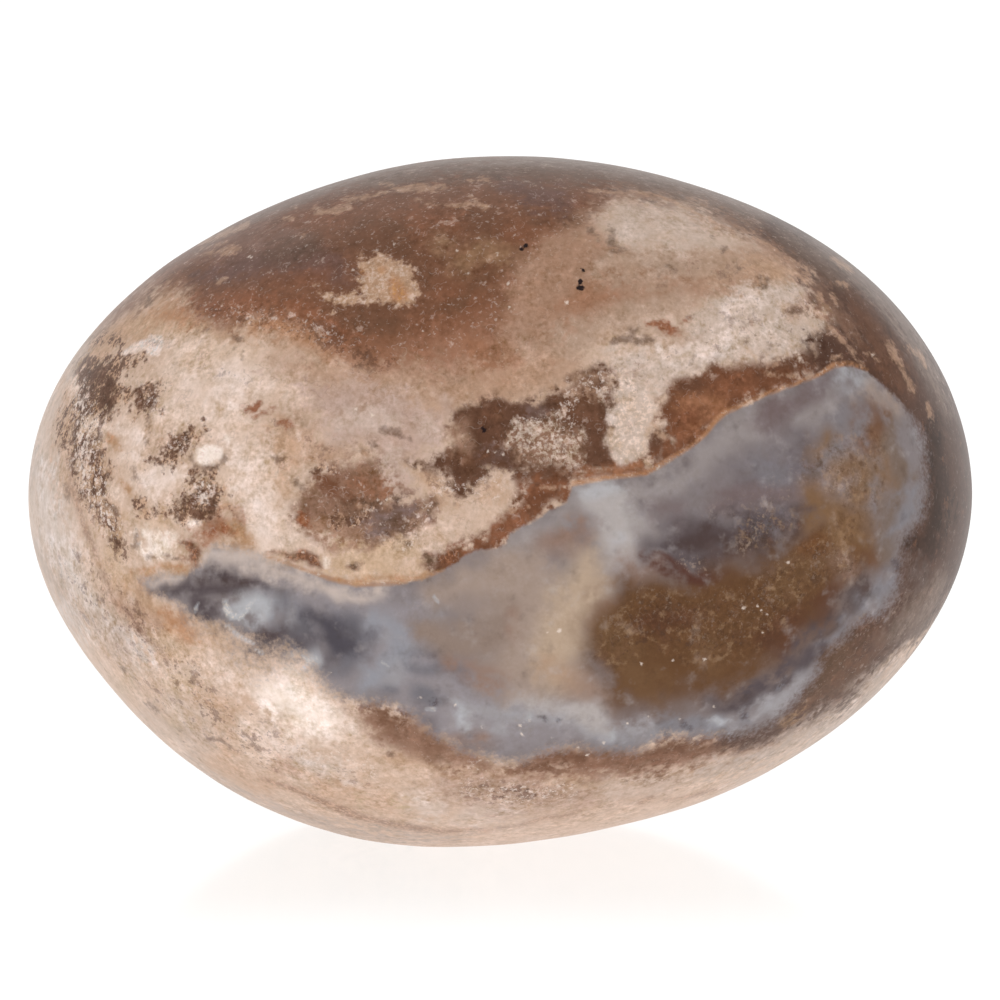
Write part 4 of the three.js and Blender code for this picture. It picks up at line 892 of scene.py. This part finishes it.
# ---------------------------------------------------------------- material wiring
class Wire:
    """One output socket of a node tree. Arithmetic on it adds Math nodes."""

    def __init__(self, tree, socket=None):
        self.tree, self.socket = tree, socket

    def node(self, kind, settings=None, inputs=None, out=0):
        """Adds a node: its type, its settings (set first), then the values or links of its sockets."""
        node = self.tree.nodes.new(kind)
        for key, value in (settings or {}).items():
            setattr(node, key, value)
        for key, value in (inputs or {}).items():
            if isinstance(value, Wire):
                self.tree.links.new(value.socket, node.inputs[key])
            else:
                node.inputs[key].default_value = value
        return Wire(self.tree, node.outputs[out])

    def out(self, name):
        """Another output of the same node."""
        return Wire(self.tree, self.socket.node.outputs[name])

    def math(self, operation, first, second=0.0):
        return self.node("ShaderNodeMath", {"operation": operation}, {0: first, 1: second})

    def __add__(self, other):
        return self.math("ADD", self, other)

    __radd__ = __add__

    def __sub__(self, other):
        return self.math("SUBTRACT", self, other)

    def __rsub__(self, other):
        return self.math("SUBTRACT", other, self)

    def __mul__(self, other):
        return self.math("MULTIPLY", self, other)

    __rmul__ = __mul__

    def size(self):
        """Its value without the sign."""
        return self.math("ABSOLUTE", self)

    def step(self, low, high):
        """Smooth step from 0 at `low` to 1 at `high`."""
        inputs = {"Value": self, "From Min": low, "From Max": high}
        return self.node("ShaderNodeMapRange", {"interpolation_type": "SMOOTHSTEP"}, inputs)

    def mix(self, first, second, factor, blend="MIX"):
        """A colour between two colours."""
        settings = {"data_type": "RGBA", "blend_type": blend}
        return self.node("ShaderNodeMix", settings, {0: factor, 6: first, 7: second}, out=2)


def rgba(colour):
    return (*[float(c) for c in colour], 1.0)


def tone(name):
    """A colour of the palette, as the user has set it."""
    return rgba(getattr(bpy.context.scene.agate_colours, name))


# ---------------------------------------------------------------- the stone's material
class AgatePaint:
    """The stone's colour, laid on in turns, with painted light in it: the ground colours hold painted
    reflections along the rims and a painted highlight, glints are painted highlights and pits painted shade.
    The ground colours and the depths inside the marks come with the mesh. Noise in object space frays the
    marks' edges, and gives the grain and the flecks."""

    def __init__(self, tree):
        self.pen = Wire(tree)
        metres = {0: self.pen.node("ShaderNodeTexCoord", out=3), "Scale": 1.0 / MM}
        self.place = self.pen.node("ShaderNodeVectorMath", {"operation": "SCALE"}, metres)
        self.wander, self.cloud = self.field(1.6, 2.0), self.field(.9, 3.0, 5.0)
        self.fray, self.dust = self.field(.42, 3.0, 9.0), self.field(.15, 2.0, 17.0, .6)
        self.speck, self.thread = self.field(.24, 2.0, 23.0, .7), self.field(.7, 2.0, 41.0)
        self.dark, self.pale = self.stored("dark_grains"), self.stored("pale_grains")
        self.glassy = (self.stored("chalcedony") + self.fray[1] * .05 + self.dust[0] * .05).step(-.09, .09)
        self.stony = 1.0 - self.glassy
        self.colour = self.ground()
        self.lay_marks()
        self.lay_blotches()
        self.lay_grain()
        self.lay_flecks()
        # painted shade: the tiny pits are dark dots, with no hollow in the mesh
        self.lay(tone("pit"), self.dots(PITS).step(-.04, .06))
        # painted highlight: glints of light off the polish, laid as pale dots
        self.lay(tone("spark"), self.dots(GLINTS).step(.01, .13) * .65)

    def field(self, size, detail, shift=0.0, roughness=.55):
        """Three noises, each about -1 to 1, with blots about `size` mm across."""
        ends = {0: self.place, 1: (shift, -shift, shift)}
        spot = self.pen.node("ShaderNodeVectorMath", {"operation": "ADD"}, ends)
        inputs = {"Vector": spot, "Scale": 1.0 / size, "Detail": detail, "Roughness": roughness}
        noise = self.pen.node("ShaderNodeTexNoise", {}, inputs, out=1)
        parts = self.pen.node("ShaderNodeSeparateColor", {}, {0: noise})
        return [(parts.out(n) - .5) * 3.2 for n in ("Red", "Green", "Blue")]

    def stored(self, name, out=2):
        """What the mesh holds under a name: its colour (0), its vector (1) or its number (2)."""
        return self.pen.node("ShaderNodeAttribute", {"attribute_name": name}, out=out)

    def lay(self, colour, share):
        """Lays a colour over what is there."""
        self.colour = self.pen.mix(self.colour, colour, share)

    def ground(self):
        """Grains of the four jaspers side by side, and two chalcedonies with lilac and smoky clouds."""
        mix, stored, cloud, fray = self.pen.mix, self.stored, self.cloud, self.fray
        granular = [fray[n] * .8 + self.dust[n] * .2 for n in range(3)]
        side, other = granular[0].step(-.3, .3), granular[1].step(-.3, .3)
        pairs = [mix(stored(f"jasper_{n}", 0), stored(f"jasper_{n + 1}", 0), side) for n in (0, 2)]
        clouded = (cloud[2] + granular[2] * .5).step(-.6, .6)
        haze = mix(stored("chalcedony_0", 0), stored("chalcedony_1", 0), clouded)
        haze = mix(haze, tone("lilac"), (cloud[0] + fray[1] * .3).step(.15, 1.2) * (.42 - self.dark))
        haze = mix(haze, tone("smoke"), (cloud[1] + fray[0] * .3).step(.15, 1.2) * .4)
        return mix(mix(*pairs, other), haze, self.glassy)

    def lay_marks(self):
        """The marks with a clear edge, each mixed from its own colour and that of its flecks."""
        cloud, fray, dust = self.cloud, self.fray, self.dust
        grains = [fray[n] * .6 + dust[(n + 1) % 3] + cloud[(n + 2) % 3] * .3 for n in range(3)]
        edges = [fray[n] + dust[(n + 1) % 3] * .35 for n in range(3)]
        for turn, (name, (base, fleck, share), (softness, sway, ragged), strength, *_) in enumerate(MARKS):
            depth = self.stored(name) + self.wander[turn % 3] * sway + edges[(turn + 1) % 3] * ragged
            cover = depth.step(-softness / 2, softness / 2) * strength
            inner = grains[turn % 3].step(.7 - 1.8 * share, 1.3 - 1.8 * share)
            self.lay(self.pen.mix(tone(base), tone(fleck), inner), cover)

    def lay_blotches(self):
        """Brown blotches where dark grains are, and buff ones where pale grains are."""
        mix, dark, pale = self.pen.mix, self.dark, self.pale
        cloud, fray, dust = self.cloud, self.fray, self.dust
        brown = mix(tone("copper"), tone("bark"), (fray[1] * .5 + dust[2] * .3 + dark * 6 - .9).step(-.4, .4))
        buff = mix(tone("tan"), tone("petal"), (cloud[1] + dust[1] * .6).step(-.5, .5))
        blotch = (cloud[2] * .7 + fray[0] * .8 + dust[0] * .4 - .72 + dark * 2.3).step(0, .35)
        self.lay(brown, blotch * dark * (2.2 - self.glassy * 1.4))
        blotch = (cloud[0] * .7 + fray[2] * .8 + dust[1] * .4 - .8 + pale * 2).step(0, .35)
        self.lay(buff, blotch * pale * (1.6 - self.glassy * 1.2))

    def lay_grain(self):
        """Lighter and darker grain, a little warmer or cooler, that is faint in the chalcedony."""
        cloud, fray, stony = self.cloud, self.fray, self.stony
        rough = (stony * .5 + .25) * (.45 + self.wander[1].step(-.5, .6))
        rough = rough + self.dark * (1.6 + self.glassy) + self.pale * .6
        grain = (cloud[0] * .2 + fray[0] * .22 + self.speck[2] * .22 + self.dust[0] * .16) * rough
        warm = (cloud[1] * .03 + fray[2] * .02) * rough
        red = (1 + grain * .85 + warm) * (1 + stony * .02)
        green = (1 + grain) * (1 - stony * .025)
        blue = (1 + grain * 1.3 - warm) * (.965 - stony * .02)
        tint = self.pen.node("ShaderNodeCombineColor", {}, {0: red, 1: green, 2: blue})
        self.colour = self.pen.mix(self.colour, tint, 1.0, "MULTIPLY")

    def lay_flecks(self):
        """Dark hairlines and grains, gold and brown grains in glassy places, and pale curls and grains."""
        cloud, fray, dust, speck, thread = self.cloud, self.fray, self.dust, self.speck, self.thread
        dark, pale, glassy = self.dark, self.pale, self.glassy
        hair = (.07 - thread[2].size()).step(0, .06) * cloud[2].step(0, .4)
        curl = (.06 - thread[0].size()).step(0, .06) * (thread[1] + fray[2]).step(.1, .4)
        self.lay(tone("bark"), hair * (.08 + dark) * self.stony)
        self.lay(tone("peat"), (speck[0] - .6 + dark * 1.2).step(0, .4) * (dark * 2 - .02))
        self.lay(tone("bark"), (dust[1] - .6 + dark).step(0, .4) * (dark * 1.6 - .02))
        gold = (speck[2] * .5 + fray[1] * .9 + cloud[0] * .3).step(.1, .8) * dark * glassy
        self.lay(tone("gold_tan"), gold * 1.9)
        self.lay(tone("peat"), (fray[2] * .9 + speck[1] * .5).step(.1, .7) * dark * glassy * 2.2)
        light = self.pen.mix(tone("petal"), tone("gold_tan"), glassy * .7)
        self.lay(light, curl * pale * (1.2 - glassy * .8))
        self.lay(light, (speck[1] - .5 + pale * 1.1).step(0, .5) * pale * (2 - glassy))
        self.lay(light, (dust[2] - .6 + pale).step(0, .4) * pale * (1.8 - glassy * 1.3))

    def dots(self, places):
        """Depth inside the nearest of some ragged dots on the face chart."""
        chart, nearest = self.stored("face_chart", 1), 9.0
        for place in places:
            ends = {0: chart, 1: (*place, 0)}
            away = self.pen.node("ShaderNodeVectorMath", {"operation": "DISTANCE"}, ends, out=1)
            nearest = self.pen.math("MINIMUM", nearest, away)
        return self.dust[2] * .1 + self.fray[0] * .08 + .1 - nearest


def polished_agate():
    """Material of the stone: its colour under a soft polish, a little glossier on the chalcedony."""
    material = bpy.data.materials.new("polished_agate")
    material.use_nodes = True
    tree = material.node_tree
    tree.nodes.clear()
    paint = AgatePaint(tree)
    polish = {"Roughness": .38 - paint.glassy * .1, "IOR": 1.54, "Specular IOR Level": .14}
    shader = paint.pen.node("ShaderNodeBsdfPrincipled", {}, {"Base Color": paint.colour, **polish})
    output = tree.nodes.new("ShaderNodeOutputMaterial")
    tree.links.new(shader.socket, output.inputs["Surface"])
    return material


# ---------------------------------------------------------------- user values
class AgateSizes(bpy.types.PropertyGroup):
    """Sizes of the round of the stone, before its flats were worn."""

    half_length: bpy.props.FloatProperty(
        name="Half length", description="Half the stone's length", default=20.9 * MM, unit="LENGTH"
    )
    half_depth: bpy.props.FloatProperty(
        name="Half depth", description="Half the stone's depth", default=16.8 * MM, unit="LENGTH"
    )
    half_height: bpy.props.FloatProperty(
        name="Half height", description="Half the stone's height", default=15.7 * MM, unit="LENGTH"
    )


class AgateColours(bpy.types.PropertyGroup):
    """Colours of the stone's minerals, and of the painted glints and the painted shade in its pits, one for
    each entry of the palette.
    """

    __annotations__ = {
        key: bpy.props.FloatVectorProperty(
            name=key.replace("_", " ").capitalize(),
            description=f"Stone colour: {key.replace('_', ' ')}",
            default=tuple(float(c) for c in linear(rgb)),
            subtype="COLOR",
            size=3,
            min=0.0,
            max=1.0,
        )
        for key, rgb in PALETTE.items()
    }


class AgateStage(bpy.types.PropertyGroup):
    """Light and floor."""

    surround: bpy.props.FloatProperty(
        name="Surround", description="Brightness of the white surround", default=1.15, min=0.0, max=10.0
    )
    floor_glow: bpy.props.FloatProperty(
        name="Floor glow", description="Light up through the floor", default=.96, min=0.0, max=5.0
    )


# ---------------------------------------------------------------- operators
class AGATE_OT_stone(bpy.types.Operator):
    """Makes the polished stone on the CAD stone's place"""

    bl_idname = "agate.stone"
    bl_label = "Polished stone"

    def execute(self, context):
        points, faces = stone_surface(PATCH_STEPS)
        low, high = (np.array(corner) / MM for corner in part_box(NODE))
        foot = points[:, 2].min() + FOOT_WEAR
        points[:, 2] = np.maximum(points[:, 2], foot)
        shift = (low + high - points.min(0) - points.max(0)) / 2.0
        shift[2] = low[2] - foot
        points += shift
        points = np.clip(points, low, high)
        mesh = bpy.data.meshes.new("polished_stone")
        mesh.from_pydata((points * MM).tolist(), [], faces.tolist())
        mesh.shade_smooth()
        chart = chart_of(points)
        # the chalcedony's edge is soft below its seam, and nearly lost in its tail
        rise = -3.4 + 9.2 * smooth_step(chart[:, 0], -6.0, 18.0)
        below = smooth_step(rise - chart[:, 1], .8, 2.6)
        tail = smooth_step(-chart[:, 0], 5.5, 10.0)
        glassy = depth_inside(chart, CHALCEDONY) * (1.0 - .75 * below) * (1.0 - .74 * tail) - .04 * tail
        self.store(mesh, "chalcedony", glassy)
        for name, _, _, _, *shapes in MARKS:
            self.store(mesh, name, depth_in_any(chart, shapes))
        # the chart's third coordinate takes the stone's back away from the dots, which lie at 0
        hidden = -40.0 * smooth_step(points[:, 1], 2.0, 6.0)
        self.store(mesh, "face_chart", np.column_stack([chart, hidden]), "FLOAT_VECTOR", "vector")
        self.store(mesh, "dark_grains", laid_over(chart, .08, DARK_GRAINS))
        self.store(mesh, "pale_grains", laid_over(chart, .1, PALE_GRAINS))
        for name, base, fields, sway, growths, seed in GROUNDS:
            for turn, growth in enumerate(growths):
                shades = ground_colours(chart, points, base, fields, sway, growth, seed + 2 * turn)
                shades = np.column_stack([shades, np.ones(len(shades))])
                self.store(mesh, f"{name}_{turn}", shades, "FLOAT_COLOR", "color")
        stone = bpy.data.objects.new("polished_stone", mesh)
        context.scene.collection.objects.link(stone)
        mesh.materials.append(polished_agate())
        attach(stone, "root")
        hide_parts(NODE)
        return {"FINISHED"}

    @staticmethod
    def store(mesh, name, values, kind="FLOAT", key="value"):
        """Keeps one value per point on the mesh."""
        attribute = mesh.attributes.new(name, kind, "POINT")
        attribute.data.foreach_set(key, np.asarray(values, np.float32).ravel())


class AGATE_OT_stage(bpy.types.Operator):
    """Makes the pale floor, the soft surround and the camera"""

    bl_idname = "agate.stage"
    bl_label = "Stage"

    def execute(self, context):
        scene, stage = context.scene, context.scene.agate_stage
        mesh = bpy.data.meshes.new("floor")
        corners = [(x * FLOOR_HALF, y * FLOOR_HALF, 0) for x, y in ((-1, -1), (1, -1), (1, 1), (-1, 1))]
        mesh.from_pydata(corners, [], [(0, 1, 2, 3)])
        floor = bpy.data.objects.new("floor", mesh)
        scene.collection.objects.link(floor)
        mesh.materials.append(self.floor_material(stage))
        scene.world = self.surround(stage)
        scene.view_settings.view_transform = "Standard"
        camera = bpy.data.cameras.new("camera")
        camera.sensor_width = 36.0
        camera.lens = camera.sensor_width * EYE_DISTANCE / FRAME_WIDTH
        camera.clip_start = .01
        eye = bpy.data.objects.new("camera", camera)
        eye.location = (
            0.0,
            -EYE_DISTANCE * math.cos(EYE_ELEVATION) * MM,
            (CHART_MIDDLE[2] + EYE_DISTANCE * math.sin(EYE_ELEVATION)) * MM,
        )
        eye.rotation_euler = (math.pi / 2 - EYE_ELEVATION, 0.0, 0.0)
        scene.collection.objects.link(eye)
        scene.camera = eye
        return {"FINISHED"}

    @staticmethod
    def floor_material(stage):
        """White acrylic, lit from below: mostly glowing, with a faint blurred mirror that fades out towards
        the eye."""
        material = bpy.data.materials.new("white_acrylic")
        material.use_nodes = True
        tree = material.node_tree
        tree.nodes.clear()
        pen = Wire(tree)
        body = pen.node(
            "ShaderNodeBsdfPrincipled",
            {},
            {"Base Color": (.18, .18, .18, 1.0), "Roughness": 1.0, "Specular IOR Level": 0.0,
             "Emission Color": (1.0, .995, .985, 1.0), "Emission Strength": stage.floor_glow},
        )
        mirror = pen.node("ShaderNodeBsdfGlossy", {}, {"Color": (1.0, 1.0, 1.0, 1.0), "Roughness": .14})
        place = pen.node("ShaderNodeTexCoord", out=3)
        nearness = pen.node("ShaderNodeSeparateXYZ", {}, {0: place}, out=1).step(-25.0 * MM, -11.0 * MM)
        both = pen.node("ShaderNodeMixShader", {}, {0: nearness * .2, 1: body, 2: mirror})
        output = tree.nodes.new("ShaderNodeOutputMaterial")
        tree.links.new(both.socket, output.inputs["Surface"])
        return material

    @staticmethod
    def surround(stage):
        """A soft tent: a white wall that the floor mirrors, a dim band above it that keeps the rims dark, and
        a white roof, a little dimmer overhead."""
        world = bpy.data.worlds.new("soft_tent")
        world.use_nodes = True
        tree = world.node_tree
        tree.nodes.clear()
        pen = Wire(tree)
        way = pen.node("ShaderNodeTexCoord", out=0)
        rise = pen.node("ShaderNodeSeparateXYZ", {}, {0: way}, out=2)
        wall = 1.0 - rise.step(.2, .34)
        roof = rise.step(.36, .6) * (1.0 - rise.step(.5, .98) * .4)
        level = (.15 + (wall + roof) * .85) * stage.surround
        back = pen.node("ShaderNodeBackground", {}, {"Color": (1.0, 1.0, 1.0, 1.0), "Strength": level})
        output = tree.nodes.new("ShaderNodeOutputWorld")
        tree.links.new(back.socket, output.inputs["Surface"])
        return world


class AGATE_PT_panel(bpy.types.Panel):
    """Values and pieces of the agate"""

    bl_label = "Tumbled agate"
    bl_idname = "AGATE_PT_panel"
    bl_space_type = "VIEW_3D"
    bl_region_type = "UI"
    bl_category = "Agate"

    def draw(self, context):
        layout, scene = self.layout, context.scene
        for group in (scene.agate_sizes, scene.agate_stage, scene.agate_colours):
            column = layout.column(align=True)
            for key in type(group).__annotations__:
                column.prop(group, key)
        layout.operator(AGATE_OT_stone.bl_idname)
        layout.operator(AGATE_OT_stage.bl_idname)


CLASSES = (AgateSizes, AgateColours, AgateStage, AGATE_OT_stone, AGATE_OT_stage, AGATE_PT_panel)


def register():
    for cls in CLASSES:
        bpy.utils.register_class(cls)
    bpy.types.Scene.agate_sizes = bpy.props.PointerProperty(type=AgateSizes)
    bpy.types.Scene.agate_colours = bpy.props.PointerProperty(type=AgateColours)
    bpy.types.Scene.agate_stage = bpy.props.PointerProperty(type=AgateStage)


def unregister():
    for name in ("agate_sizes", "agate_colours", "agate_stage"):
        delattr(bpy.types.Scene, name)
    for cls in reversed(CLASSES):
        bpy.utils.unregister_class(cls)


def main():
    register()
    bpy.ops.agate.stage()
    bpy.ops.agate.stone()


if __name__ == "__main__":
    main()
